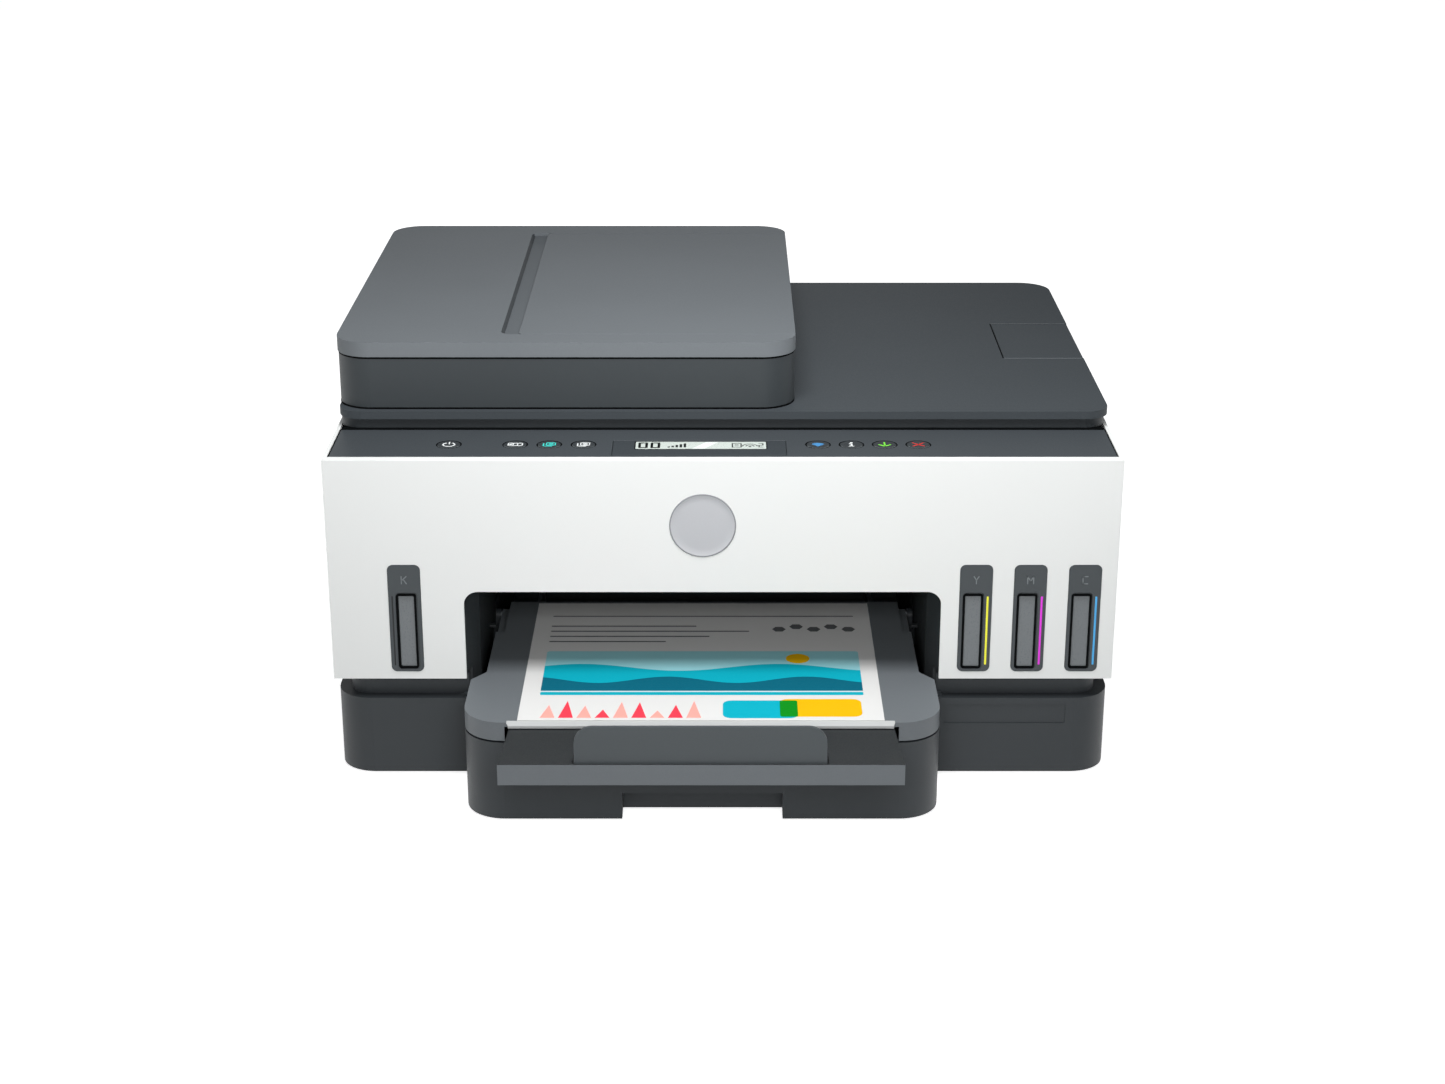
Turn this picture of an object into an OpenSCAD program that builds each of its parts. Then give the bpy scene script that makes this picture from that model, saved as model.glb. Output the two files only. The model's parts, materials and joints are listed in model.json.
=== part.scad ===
/* [Body] */
// Overall width of the casing
body_w = 449.5; // [448:0.5:451]
// Depth of the lower casing, front face to rear face
body_d = 350; // [350:0.5:350.5]
// Height of the base tub
base_h = 46.9; // [46:0.1:47.2]
// Lower edge of the white front and side shell
shell_z0 = 59.2; // [58.8:0.1:60]
// Upper edge of the white front and side shell
shell_z1 = 192.4; // [192.2:0.1:192.6]
// Wall thickness of the white shell
shell_t = 2.2; // [1.8:0.1:2.4]
// Radius of the base tub's vertical front corners
base_r = 21; // [16:1:24]
// Height of the rubber feet
foot_h = 2.5; // [2:0.5:4]

/* [Output opening] */
// Centre of the paper path, to the left of the casing's centre
path_x = -11.65; // [-11.8:0.05:-11.5]
// Half width of the opening in the front shell
mouth_half = 136.45; // [136:0.05:137]
// Upper edge of the opening
mouth_top = 113; // [111:0.5:113.5]
// Radius of the opening's upper corners
mouth_r = 8; // [4:0.5:12]

/* [Paper trays] */
// Half width of the cassette
tray_half = 133.75; // [133.2:0.05:133.95]
// How far the cassette stands out in front of the casing
tray_out = 62; // [60:0.5:63]
// Height of the cassette's front
tray_h = 47.5; // [46.5:0.1:47.8]
// Corner radius of the cassette's front
tray_r = 23; // [18:1:24]
// Upper face of the output tray
cover_z = 59.8; // [59.4:0.1:60]
// Height of the paper stop above its hinge
stop_h = 24.5; // [21:0.1:25]

/* [Scanner and lid] */
// Lower face of the lid
lid_z0 = 198.9; // [198.9:0.05:199]
// Upper face of the lid
lid_z1 = 203.5; // [203.3:0.1:203.8]
// Upper face of the document feeder
adf_top = 243.7; // [242.5:0.1:245]
// Right-hand end of the document feeder
adf_x1 = 42.4; // [42:0.1:43]

/* [Controls] */
// Radius of a button cap
btn_r = 6.5; // [5.5:0.1:6.8]
// Travel of a button
btn_travel = 0.8; // [0.5:0.1:1]

/* [Ink system] */
// Radius of a tank's filler bore
filler_r = 6; // [5.5:0.1:6.5]

/* [Drive] */
// Gear module of the paper feed train
gear_m = 1; // [1:1]
// Radius of the feed shaft
shaft_r = 4; // [4:0.1:4.2]

/* [Hidden] */
$fn = 64;
hw = body_w / 2;
y_shift = -122.5;
px = path_x;
white = "#eceeee";
dark = "#3f4446";
mid = "#4a4f51";
grey = "#6d7274";
black = "#1d1f20";
steel = "#b9bdc0";
// button centres across the control panel, and their shared depth
btn_x = [-156.1, -118.3, -98.9, -79.4, 54.2, 73.3, 92.2, 111.4];
btn_y = 28;
// the four gauge bezels: left edge, and the window's offset in it
bezel_x = [-191, 135.1, 166, 197.1];
bezel_w = 18.6;
bezel_z0 = 63.9;
bezel_z1 = 129.5;
win_off = [5, 2.9, 2.9, 2.9];
win_w = 10.6;
win_z0 = 66.5;
win_z1 = 111.8;
// the four tanks: left side, right side, filler centre
tank_x = [[-213, -160, -181], [133, 159, 146], [161.6, 187.6, 174.6], [190.4, 216.4, 203.4]];
tank_z0 = 65.3;
tank_z1 = 116;
tank_y1 = 109;
cap_y = 86;
cap_hy = cap_y + 13;
cap_hz = 123;
// paper drive axes
feed_y = 180;
exit_y = 126;
pick_y = 225;
drive_z = 70;
gear_x = -160;
// hinge axes
scan_hy = 350;
scan_hz = 193;
lid_hy = 352.5;
lid_hz = 199;

module place() translate([0, y_shift, foot_h]) children();
module bx(x0, y0, z0, x1, y1, z1) translate([x0, y0, z0]) cube([x1 - x0, y1 - y0, z1 - z0]);
module corner(x, y, sx, sy, r)
  if (r > 0) difference() {
    translate([sx > 0 ? x - 1 : x - r, sy > 0 ? y - 1 : y - r]) square([r + 1, r + 1]);
    translate([x + sx * r, y + sy * r]) circle(r = r);
  }
// rectangle with four corner radii: front left, front right, back right, back left
module rr(x0, y0, x1, y1, r) difference() {
  translate([x0, y0]) square([x1 - x0, y1 - y0]);
  corner(x0, y0, 1, 1, r[0]);
  corner(x1, y0, -1, 1, r[1]);
  corner(x1, y1, -1, -1, r[2]);
  corner(x0, y1, 1, -1, r[3]);
}
module rbox(x0, y0, z0, x1, y1, z1, r) translate([0, 0, z0]) linear_extrude(z1 - z0) rr(x0, y0, x1, y1, r);
// upright rounded plate between two depths, outline in X and Z
module vbox(x0, z0, y0, x1, z1, y1, r) translate([0, y1, 0]) rotate([90, 0, 0]) linear_extrude(y1 - y0) rr(x0, z0, x1, z1, r);
module cx(x0, x1, y, z, r) translate([x0, y, z]) rotate([0, 90, 0]) cylinder(h = x1 - x0, r = r);
module cy(x, z, y0, y1, r) translate([x, y0, z]) rotate([-90, 0, 0]) cylinder(h = y1 - y0, r = r);
module cz(x, y, z0, z1, r) translate([x, y, z0]) cylinder(h = z1 - z0, r = r);
// outline in Y and Z, drawn out along X
module yz(x0, x1) translate([x0, 0, 0]) rotate([90, 0, 90]) linear_extrude(x1 - x0) children();

// spur gear outline with straight-flanked teeth and running backlash
module gear2d(n, m, phase = 0) {
  r = n * m / 2;
  p = 360 / n;
  polygon([for (i = [0 : n - 1]) each [
    for (k = [[-0.30, -1.15], [-0.205, -0.1], [-0.10, 0.85], [0.10, 0.85], [0.205, -0.1], [0.30, -1.15]])
      let (a = phase + (i + k[0]) * p, q = r + k[1] * m) [q * cos(a), q * sin(a)]]]);
}
module gear(x0, x1, y, z, n, bore, phase = 0) difference() {
  translate([0, y, z]) yz(x0, x1) gear2d(n, gear_m, phase);
  cx(x0 - 1, x1 + 1, y, z, bore);
}

module base_tub() color(dark) difference() {
  union() {
    difference() {
      rbox(-hw, 0, 0, hw, body_d, base_h, [base_r, base_r, 14, 14]);
      rbox(-hw + 2.5, 2.5, 2.5, hw - 2.5, body_d - 2.5, base_h - 2.5, [base_r - 2.5, base_r - 2.5, 11.5, 11.5]);
      rbox(-hw + 9.2, 9.2, base_h - 3, hw - 9.2, body_d - 9.2, base_h + 1, [base_r - 9.2, base_r - 9.2, 4.8, 4.8]);
    }
    // inner wall rising behind the white shell
    difference() {
      rbox(-hw + 7, 7, base_h - 2.5, hw - 7, body_d - 7, 62, [base_r - 7, base_r - 7, 7, 7]);
      rbox(-hw + 9.2, 9.2, base_h - 3, hw - 9.2, body_d - 9.2, 63, [base_r - 9.2, base_r - 9.2, 4.8, 4.8]);
      bx(-hw, body_d - 12, base_h + 0.1, hw, body_d, 63);
    }
    // cassette guide walls, raised at the paper drive
    for (x = [px - 138.85, px + 136.35]) {
      bx(x, 2.4, 2, x + 2.5, 340, 48);
      bx(x, 118, 47, x + 2.5, 236, 80);
      // duct behind the drive that turns the paper
      bx(x, 234, 47, x + 2.5, 340, 110);
    }
    // stub shafts for the idler gears
    cx(px - 149.5, px - 138, 153, drive_z, 2);
    cx(px - 149.5, px - 138, 205.5, drive_z, 2);
    // screw posts
    for (x = [-205, 205]) for (y = [30, 322]) cz(x, y, 2, 30, 4);
  }
  // cassette mouth
  bx(px - tray_half - 2, -1, 2.5, px + tray_half + 2, 12, 70);
  bx(px - 136.6, -1, shell_z0 + 0.1, px + 136.6, 12, 70);
  // bearings
  for (x = [px - 141, px + 135]) {
    cx(x, x + 8, feed_y, drive_z, shaft_r + 0.05);
    cx(x, x + 8, exit_y, drive_z, 3.05);
    cx(x, x + 8, pick_y, drive_z, 3.05);
  }
  for (x = [-205, 205]) for (y = [30, 322]) cz(x, y, 10, 31, 1.5);
  // shallow bare panel for a label on the right of the front
  vbox(128, 31, -1, 199, 43, 0.5, [1.5, 1.5, 1.5, 1.5]);
}

module front_side_panel() color(white) difference() {
  union() {
    difference() {
      bx(-hw, 0, shell_z0, hw, body_d - 2, shell_z1);
      bx(-hw + shell_t, shell_t, shell_z0 - 1, hw - shell_t, body_d, shell_z1 + 1);
    }
    bx(-hw + 0.1, shell_t - 0.5, 189.2, hw - 0.1, 5.6, shell_z1);
    // return flange behind the mouth and stiffening ribs
    for (x = [-208, -60, 60, 120]) bx(x, 2, 135, x + 1.6, 4.6, 189.5);
  }
  vbox(px - mouth_half, shell_z0 - 2, -1, px + mouth_half, mouth_top, 3.5, [0, 0, mouth_r, mouth_r]);
  for (x = bezel_x) vbox(x - 0.1, bezel_z0 - 0.1, -1, x + bezel_w + 0.1, bezel_z1 + 0.1, 3.5, [3.3, 3.3, 3.3, 3.3]);
}

module rear_cover() color(dark) difference() {
  union() {
    difference() {
      bx(-hw + 2.4, body_d - 4.5, base_h + 0.4, hw - 2.4, body_d, 190.4);
      bx(-hw + 12, body_d - 5, 60, hw - 12, body_d - 2.2, 184);
    }
    // frame around the rear access door
    difference() {
      bx(-136, body_d - 4.4, 56, 112, body_d - 0.2, 156);
      bx(-132.4, body_d - 6, 59.2, 108.4, body_d + 1, 152);
    }
  }
  bx(-132.4, body_d - 6, 59.2, 108.4, body_d + 1, 152);
  // sockets: mains inlet and data port
  vbox(-206.3, 66.7, body_d - 6, -181.7, 84.3, body_d + 1, [4, 4, 4, 4]);
  bx(158.7, body_d - 6, 68.7, 171.3, body_d + 1, 80.3);
  // vents
  for (i = [0 : 8]) bx(-208, body_d - 6, 108 + i * 6, -150, body_d + 1, 111 + i * 6);
  for (i = [0 : 8]) bx(130, body_d - 6, 108 + i * 6, 188, body_d + 1, 111 + i * 6);
  // clearance for the scanner hinge ears
  for (x = [-153, 153]) bx(x - 9.5, body_d - 6, 183, x + 9.5, body_d + 1, 191);
  // screw holes
  for (p = screw_pts) cy(p[0], p[1], body_d - 6, body_d + 1, 1.6);
}
screw_pts = [[-213, 96], [213, 96], [-213, 178], [213, 178], [-60, 178], [60, 178]];

module case_screws() color("#2a2c2e") for (p = screw_pts) difference() {
  union() {
    cy(p[0], p[1], body_d - 9.8, body_d + 0.1, 1.5);
    translate([p[0], body_d + 1.9, p[1]]) rotate([90, 0, 0]) cylinder(h = 1.8, r1 = 2.4, r2 = 3);
  }
  for (a = [0, 90]) translate([p[0], body_d + 1.4, p[1]]) rotate([0, a, 0]) cube([3.2, 1.6, 0.7], center = true);
}

// ring that carries the control panel and the scanner
module mid_frame() color("#33373a") difference() {
  union() {
    bx(-217.5, 56.2, 180, 217.5, 61, 184.1);
    bx(-220, 56.2, 184, 220, 61, 190.4);
    for (s = [-1, 1]) bx(s < 0 ? -220 : 208.2, 56.2, 184, s < 0 ? -208.2 : 220, 344, 190.4);
    bx(-208.8, 332, 180, 208.8, 345, 187);
    bx(-220, 332, 184, 220, 345, 187);
    // scanner hinge ears
    for (x = [-161, -149, 145, 157]) {
      bx(x, 340, 184, x + 4, 350, 190);
      cx(x, x + 4, scan_hy, scan_hz, 4.6);
      bx(x, 345.4, 186, x + 4, 351, 193);
    }
    // bosses for the middle rear screws
    for (x = [-60, 60]) bx(x - 4, 338, 173, x + 4, 345.3, 183);
  }
  for (x = [-162, 144]) cx(x, x + 18, scan_hy, scan_hz, 3.05);
  for (x = [-60, 60]) cy(x, 178, 337, 350, 1.5);
}

// side walls with the rail posts and the rear screw bosses
module side_frames() color("#33373a") for (s = [-1, 1]) difference() {
  union() {
    bx(s < 0 ? -220 : 217.6, 10, 62.4, s < 0 ? -217.6 : 220, 345, 183.9);
    bx(s < 0 ? -220 : 217.6, 10, 180, s < 0 ? -217.6 : 220, 53.2, 189.9);
    // ledge under the control panel
    bx(s < 0 ? -220 : 214, 10, 172, s < 0 ? -214 : 220, 56, 179.9);
    // posts for the carriage rail
    bx(s < 0 ? -217.8 : 209, 188.2, 88, s < 0 ? -209 : 217.8, 204, 150);
    bx(s < 0 ? -217.8 : 209, 204, 62.4, s < 0 ? -209 : 217.8, 212, 150);
    for (z = [96, 178]) bx(s < 0 ? -219.9 : 209, 338, z - 5, s < 0 ? -209 : 219.9, 345.3, z + 5);
    // rear feet over the base tub's screw posts
    cz(205 * s, 322, 58, 66, 4);
    bx(s < 0 ? -218 : 205, 320, 62.4, s < 0 ? -205 : 218, 324, 66);
  }
  for (z = [96, 178]) cy(213 * s, z, 339.5, 350, 1.5);
  cz(205 * s, 322, 57, 67, 1.6);
  // the control panel's rear wall
  bx(s < 0 ? -221 : 217, 53.2, 180, s < 0 ? -217 : 221, 55.7, 184);
  if (s > 0) cy(200, 114, 188, 223, 15.4);
}

// output bay with the tank shelves beside it
module output_bay() color("#33373a") difference() {
  union() {
    bx(-217.5, 10.2, 62.6, px - 142, 115.4, 65);
    bx(px + 142, 10.2, 62.6, 217.5, 115.4, 65);
    bx(px - 144.4, 10.2, 62.6, px - 142, 115.4, 130);
    bx(px + 142, 10.2, 62.6, px + 144.4, 115.4, 130);
    // side liners, roof and rear wall
    for (s = [-1, 1]) translate([px, 0, 50]) linear_extrude(66) scale([s, 1])
      polygon([[136.6, 3.6], [138.7, 3.6], [138.7, 20], [132, 115.4], [129.9, 115.4], [129.9, 20]]);
    for (s = [-1, 1]) bx(px + (s < 0 ? -142.5 : 129.9), 20, 62.6, px + (s < 0 ? -129.9 : 142.5), 115.4, 65);
    bx(px - 144.4, 3.6, 114.4, px + 144.4, 115.4, 117);
    bx(px - 144.4, 113, 86, px + 144.4, 115.4, 150);
    for (x = [-205, 205]) cz(x, 30, 58, 65, 4);
    // small tabs over the tray's edges
    for (s = [-1, 1]) bx(px + (s < 0 ? -130.5 : 125.9), 74, 60.4, px + (s < 0 ? -125.9 : 130.5), 78, 62);
  }
  for (x = [-205, 205]) cz(x, 30, 57, 67, 1.6);
  // rim of the base tub in front of the liners
  bx(px - 143, 3, 49, px + 143, 10.1, 62.3);
  // cable and ink tube passage
  bx(px + 150, 113, 70, px + 190, 118, 80);
  // room for the exit roller's gear
  bx(px - 148, 106.4, 50, px - 141.9, 116, 95);
}

module control_panel() color(mid) difference() {
  union() {
    difference() {
      bx(-222.2, 5.9, 180.2, 222.2, 55.4, 192.3);
      bx(-220, 8, 179, 220, 53.4, 190);
    }
    for (x = btn_x) difference() { cz(x, btn_y, 189.9, 192.2, 10); cz(x, btn_y, 189, 190, 8.6); }
  }
  for (x = btn_x) cz(x, btn_y, 188, 194, btn_r + 0.3);
  bx(-62.8, 7.9, 188, 36.1, 36, 194);
}

module lcd_module() color("#3c4143") {
  bx(-62.6, 8.1, 190.1, 35.9, 35.8, 192.25);
  bx(-52, 18.5, 186.5, 27, 35, 190.1);
  // circuit board that carries the display and the button switches
  bx(-170, 12, 183.4, 125, 46, 185);
  bx(-50, 20, 184.9, 25, 33, 186.6);
  for (x = btn_x) bx(x - 2.5, btn_y - 2.5, 184.9, x + 2.5, btn_y + 2.5, 186.3);
}

module button(i) {
  x = btn_x[i];
  color("#4d5254") {
    difference() {
      cz(x, btn_y, 188.6, 192.45, btn_r);
      translate([x, btn_y, 192.3 + 60]) sphere(r = 60.02, $fn = 96);
    }
    cz(x, btn_y, 187.7, 189.2, 8);
    cz(x, btn_y, 187.15, 187.8, 1.6);
  }
}
module power_button() button(0);
module id_copy_button() button(1);
module color_copy_button() button(2);
module black_copy_button() button(3);
module wireless_button() button(4);
module info_button() button(5);
module resume_button() button(6);
module cancel_button() button(7);

module gauge_bezels() color("#44494b") for (i = [0 : 3]) {
  x = bezel_x[i];
  difference() {
    vbox(x, bezel_z0, -0.3, x + bezel_w, bezel_z1, 3, [3.2, 3.2, 3.2, 3.2]);
    vbox(x + win_off[i] - 0.15, win_z0 - 0.15, -1, x + win_off[i] + win_w + 0.15, win_z1 + 0.15, 4, [1.2, 1.2, 1.2, 1.2]);
    vbox(x + win_off[i] - 1, win_z0 - 1, -1, x + win_off[i] + win_w + (i == 0 ? 1 : 0.6), win_z1 + 1, 0.5, [2, 2, 2, 2]);
  }
}

module ink_tank(i, c) color(c, 0.9) {
  t = tank_x[i];
  wx = bezel_x[i] + win_off[i];
  difference() {
    union() {
      rbox(t[0], 5, tank_z0, t[1], tank_y1, tank_z1, [2, 2, 2, 2]);
      vbox(wx + 0.5, win_z0 + 0.3, 0.9, wx + win_w - 0.5, win_z1 - 0.3, 5.2, [1, 1, 1, 1]);
      cz(t[2], cap_y, tank_z1 - 1, 120.6, 9);
    }
    rbox(t[0] + 1.6, 6.6, tank_z0 + 1.6, t[1] - 1.6, tank_y1 - 1.6, tank_z1 - 1.6, [1, 1, 1, 1]);
    cz(t[2], cap_y, tank_z1 - 3, 122, filler_r);
  }
  // ears for the cap's hinge
  for (s = [-1, 1]) difference() {
    union() {
      bx(t[2] + (s < 0 ? -8.4 : 5.9), cap_hy - 2.6, tank_z1 - 0.5, t[2] + (s < 0 ? -5.9 : 8.4), cap_hy + 2.6, cap_hz);
      cx(t[2] + (s < 0 ? -8.4 : 5.9), t[2] + (s < 0 ? -5.9 : 8.4), cap_hy, cap_hz, 2.6);
    }
    cx(t[2] - 10, t[2] + 10, cap_hy, cap_hz, 1.05);
  }
}
module ink_tank_black() ink_tank(0, "#3a3d3f");
module ink_tanks_color() for (i = [1 : 3]) ink_tank(i, "#8f9496");

module tank_cap(i, c) color(c) {
  x = tank_x[i][2];
  difference() {
    union() {
      cz(x, cap_y, 120.9, 126.2, 10.4);
      bx(x - 5.6, cap_y, 121, x + 5.6, cap_hy, 125.3);
      cx(x - 5.6, x + 5.6, cap_hy, cap_hz, 2.3);
      // lift tab at the front
      rbox(x - 5, cap_y - 14.5, 123.4, x + 5, cap_y - 8, 125.6, [3, 3, 0, 0]);
    }
    cz(x, cap_y, 124.6, 127, 7.6);
  }
  cz(x, cap_y, 118.6, 121.2, 4.8);
  cx(x - 8.3, x + 8.3, cap_hy, cap_hz, 1);
}
module tank_cap_black() tank_cap(0, "#2b2d2e");
module tank_cap_yellow() tank_cap(1, "#f0d732");
module tank_cap_magenta() tank_cap(2, "#d23aa0");
module tank_cap_cyan() tank_cap(3, "#2f93cf");

module guide_rail() color(steel) difference() {
  union() {
    bx(-217.4, 186, 92, 217.4, 188, 150);
    bx(-217.4, 178, 148, 217.4, 188, 150);
    bx(-208.8, 188, 92, 208.8, 197, 94);
  }
  cy(200, 114, 180, 190, 4.2);
  for (x = [-180, -100, -20, 60]) vbox(x - 22, 106, 180, x + 22, 138, 190, [6, 6, 6, 6]);
}
// toothed belt loop between the motor pulley and the tension pulley
module carriage_belt() color(black) translate([0, 185, 0]) rotate([90, 0, 0]) linear_extrude(6) difference() {
  union() {
    translate([-200, 114 - 8.9]) square([400, 17.8]);
    for (x = [-200, 200]) translate([x, 114]) circle(r = 8.9);
  }
  translate([-200, 114 - 7.9]) square([400, 15.8]);
  for (x = [-200, 200]) translate([x, 114]) circle(r = 7.9);
}
module carriage_motor() color("#8b8f92") {
  cy(200, 114, 188.3, 222, 8);
  difference() {
    cy(200, 114, 189, 222, 15);
    cy(200, 114, 212, 223, 4);
  }
  cy(200, 114, 178, 189.5, 2);
  cy(200, 114, 178.4, 185, 7.7);
  cy(200, 114, 178, 178.9, 9.6);
  // tension pulley at the far end of the belt, on its own pin
  cy(-200, 114, 178.4, 186, 7.7);
  cy(-200, 114, 178, 178.9, 9.6);
}
module feed_motor() color("#8b8f92") difference() {
  union() {
    cx(-210, -174, 250, 100, 17.5);
    cx(-212, -209.5, 250, 100, 6);
    bx(-175.2, 226, 84, -173, 262, 116);
    cx(-173.5, -163, 250, 100, 1.5);
    cx(-170, -164, 250, 100, 6);
    // mounting foot down to the base
    bx(-175.2, 236, 2.6, -172.4, 260, 90);
  }
  for (y = [231, 257]) cx(-176, -171, y, 112, 1.7);
}

module platen() color(black) union() {
  bx(px - 128, 134, 66, px + 128, 172.5, 70);
  for (i = [0 : 15]) bx(px - 126 + i * 16.4, 134, 69.8, px - 124 + i * 16.4, 172.5, 74.5);
  // feet on the cassette guide walls
  for (s = [-1, 1]) bx(px + (s < 0 ? -136.3 : 126), 138, 66, px + (s < 0 ? -126 : 136.3), 168, 69);
}

module service_station() color("#2c3033") difference() {
  union() {
    bx(141, 130, 40, 207, 176, 72);
    for (x = [158, 178]) difference() { rbox(x - 8, 140, 71, x + 8, 166, 77, [3, 3, 3, 3]); rbox(x - 6, 142, 72.5, x + 6, 164, 78, [2, 2, 2, 2]); }
    bx(143, 138, 71, 145, 168, 78.6);
    for (x = [146, 196]) bx(x, 134, 2.6, x + 5, 172, 41);
  }
  bx(189, 134, 44, 204, 172, 73);
}

module main_board() color("#2f6b45") {
  difference() {
    bx(142, 190, 60, 213, 341, 61.6);
    cz(205, 322, 59, 63, 4.4);
  }
  for (y = [205, 335]) for (x = [147, 208]) cz(x, y, 2.6, 60.2, 2.5);
  bx(160, 250, 61.5, 184, 274, 63.6);
  bx(190, 230, 61.5, 202, 246, 63);
  bx(150, 215, 61.5, 176, 222, 70);
  bx(190, 290, 61.5, 206, 296, 68);
  for (p = [[155, 288], [165, 288], [200, 262]]) cz(p[0], p[1], 61.5, 73, 4);
  // data port on the rear edge
  difference() {
    bx(159, 331, 61.5, 171, 349.4, 80);
    bx(160.2, 336, 69.8, 169.8, 351, 78.8);
    bx(158, 346.5, 60, 172, 350, 68.95);
  }
  bx(162.4, 335, 76.4, 167.6, 347, 78.2);
}

module power_supply() color("#3b3e40") difference() {
  union() {
    bx(-214, 268, 2.6, -156, 338, 44);
    for (i = [0 : 5]) bx(-208 + i * 8, 272, 43.8, -205 + i * 8, i == 0 ? 316 : 324, 45);
  }
  bx(-209.6, 317.6, 2, -200.4, 326.4, 31);
  for (i = [0 : 5]) bx(-204.8 + i * 8, 266, 14, -201 + i * 8, 269, 34);
}

module power_inlet() color(black) difference() {
  union() {
    vbox(-206, 67, 334, -182, 84, body_d - 0.6, [4, 4, 4, 4]);
    vbox(-210, 63, 340, -178, 88, body_d - 4.7, [3, 3, 3, 3]);
    bx(-198, 326, 44.2, -190, 336, 80);
  }
  difference() {
    union() {
      cy(-198.2, 75.5, 339, body_d, 5.4);
      cy(-189.8, 75.5, 339, body_d, 5.4);
      bx(-198.2, 339, 70.1, -189.8, body_d, 80.9);
    }
    for (x = [-198.2, -189.8]) cy(x, 75.5, 338, 348.4, 1.2);
  }
}

module rubber_feet() color(black) for (x = [-190, 190]) for (y = [36, 316]) {
  translate([x, y, -foot_h]) cylinder(h = foot_h, r1 = 9, r2 = 10);
  cz(x, y, -0.2, 0, 10);
}

// ---- print carriage
module carriage() color("#26292b") difference() {
  union() {
    rbox(143, 128, 88, 203, 176, 132, [5, 5, 1, 1]);
    bx(152, 138, 81, 194, 168, 88.2);
    bx(150, 173, 131, 196, 177, 154);
    bx(150, 173, 150.6, 196, 190.5, 154);
    for (x = [150, 190]) bx(x, 176.5, 137, x + 6, 185.4, 145.5);
    for (x = [150, 190]) bx(x, 175, 95, x + 6, 185.4, 101);
    bx(166, 175, 124.6, 180, 178.6, 131.5);
  }
  rbox(146, 131, 90, 172, 170, 133, [3, 3, 1, 1]);
  rbox(174, 131, 90, 200, 170, 133, [3, 3, 1, 1]);
  bx(155, 141, 80, 171, 165, 91);
  bx(175, 141, 80, 191, 165, 91);
}
module print_heads() color("#3a5f8a") for (x = [0, 28]) difference() {
  union() {
    rbox(146.4 + x, 131.4, 90.1, 171.6 + x, 169.6, 128, [2.6, 2.6, 0.8, 0.8]);
    bx((x == 0 ? 155.3 : 175.3), 141.3, 79.5, (x == 0 ? 170.7 : 190.7), 164.7, 90.4);
    cz(159 + x, 142, 127.5, 133, 3.4);
    cz(159 + x, 158, 127.5, 133, 3.4);
  }
  cz(159 + x, 142, 129, 134, 2);
  cz(159 + x, 158, 129, 134, 2);
}

// ---- paper drive
module feed_roller() color("#55595c") {
  cx(px - 149, px + 142, feed_y, drive_z, shaft_r);
  for (i = [0 : 5]) cx(px - 118 + i * 40, px - 84 + i * 40, feed_y, drive_z, 5.8);
  gear(px - 147.5, px - 142, feed_y, drive_z, 36, 3.5);
}
module exit_roller() color("#55595c") {
  cx(px - 149, px + 142, exit_y, drive_z, 3);
  for (i = [0 : 6]) cx(px - 112 + i * 34, px - 102 + i * 34, exit_y, drive_z, 5);
  gear(px - 147.5, px - 142, exit_y, drive_z, 36, 2.5);
}
module pickup_roller() color("#3a3d3f") {
  cx(px - 149, px + 142, pick_y, drive_z, 3);
  difference() {
    for (x = [-26, 8]) cx(px + x, px + x + 18, pick_y, drive_z, 20);
    for (k = [0 : 5]) translate([0, pick_y, drive_z]) rotate([k * 60, 0, 0]) cx(px - 30, px + 30, 0, 12, 4);
  }
  gear(px - 147.5, px - 142, pick_y, drive_z, 24, 2.5, 7.5);
}
module exit_idler_gear() color("#d8d8d0") gear(px - 147, px - 142.4, 153, drive_z, 18, 2.05, 10);
module pickup_idler_gear() color("#d8d8d0") gear(px - 147, px - 142.4, 205.5, drive_z, 15, 2.05, 192);

// ---- cassette
module input_tray() color(dark) difference() {
  union() {
    difference() {
      union() {
        rbox(px - tray_half, -tray_out, 0.5, px + tray_half, -2.2, tray_h, [tray_r, tray_r, 0, 0]);
        bx(px - tray_half, -3, 2.9, px + tray_half, 262, tray_h);
      }
      rbox(px - tray_half + 2.5, -tray_out + 2.5, 5, px + tray_half - 2.5, 259.5, tray_h + 1, [tray_r - 2.5, tray_r - 2.5, 2, 2]);
    }
    // box around the finger notch
    bx(px - 49, -tray_out + 1, 0.6, px + 51, -tray_out + 17, 18);
    // lugs that carry the output tray's pivots
    for (s = [-1, 1]) {
      bx(px + (s < 0 ? -tray_half + 2 : 126.05), 107, 36, px + (s < 0 ? -126.05 : tray_half - 2), 117, tray_h);
      bx(px + (s < 0 ? -129.35 : 126.05), 107.5, tray_h - 1, px + (s < 0 ? -126.05 : 129.35), 116.5, 53.5);
      cx(px + (s < 0 ? -129.35 : 126.05), px + (s < 0 ? -126.05 : 129.35), 112, 53.5, 4);
    }
    // rack ribs on the floor for the paper guides
    for (y = [120, 132]) bx(px - 120, y, 4.5, px + 120, y + 1.5, 6.2);
  }
  bx(px - 44.9, -tray_out - 1, -1, px + 45.2, -tray_out + 14, 16.3);
  cx(px - 130, px + 130, 112, 53.5, 2.05);
  // lowered rear edge where the sheet leaves
  bx(px - 112, 258, 30, px + 112, 264, 60);
}
module width_guide(s) color(mid) {
  x = px + s * 105.5;
  bx(s < 0 ? x - 2.4 : x, 60, 6.6, s < 0 ? x : x + 2.4, 205, 40);
  bx(s < 0 ? x : x - 34, 122.5, 6.6, s < 0 ? x + 34 : x, 131, 8);
  bx(s < 0 ? x - 14 : x, 118, 6.6, s < 0 ? x : x + 14, 140, 8.6);
  bx(s < 0 ? x - 8 : x + 6, 122, 8, s < 0 ? x - 6 : x + 8, 136, 20);
}
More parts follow.
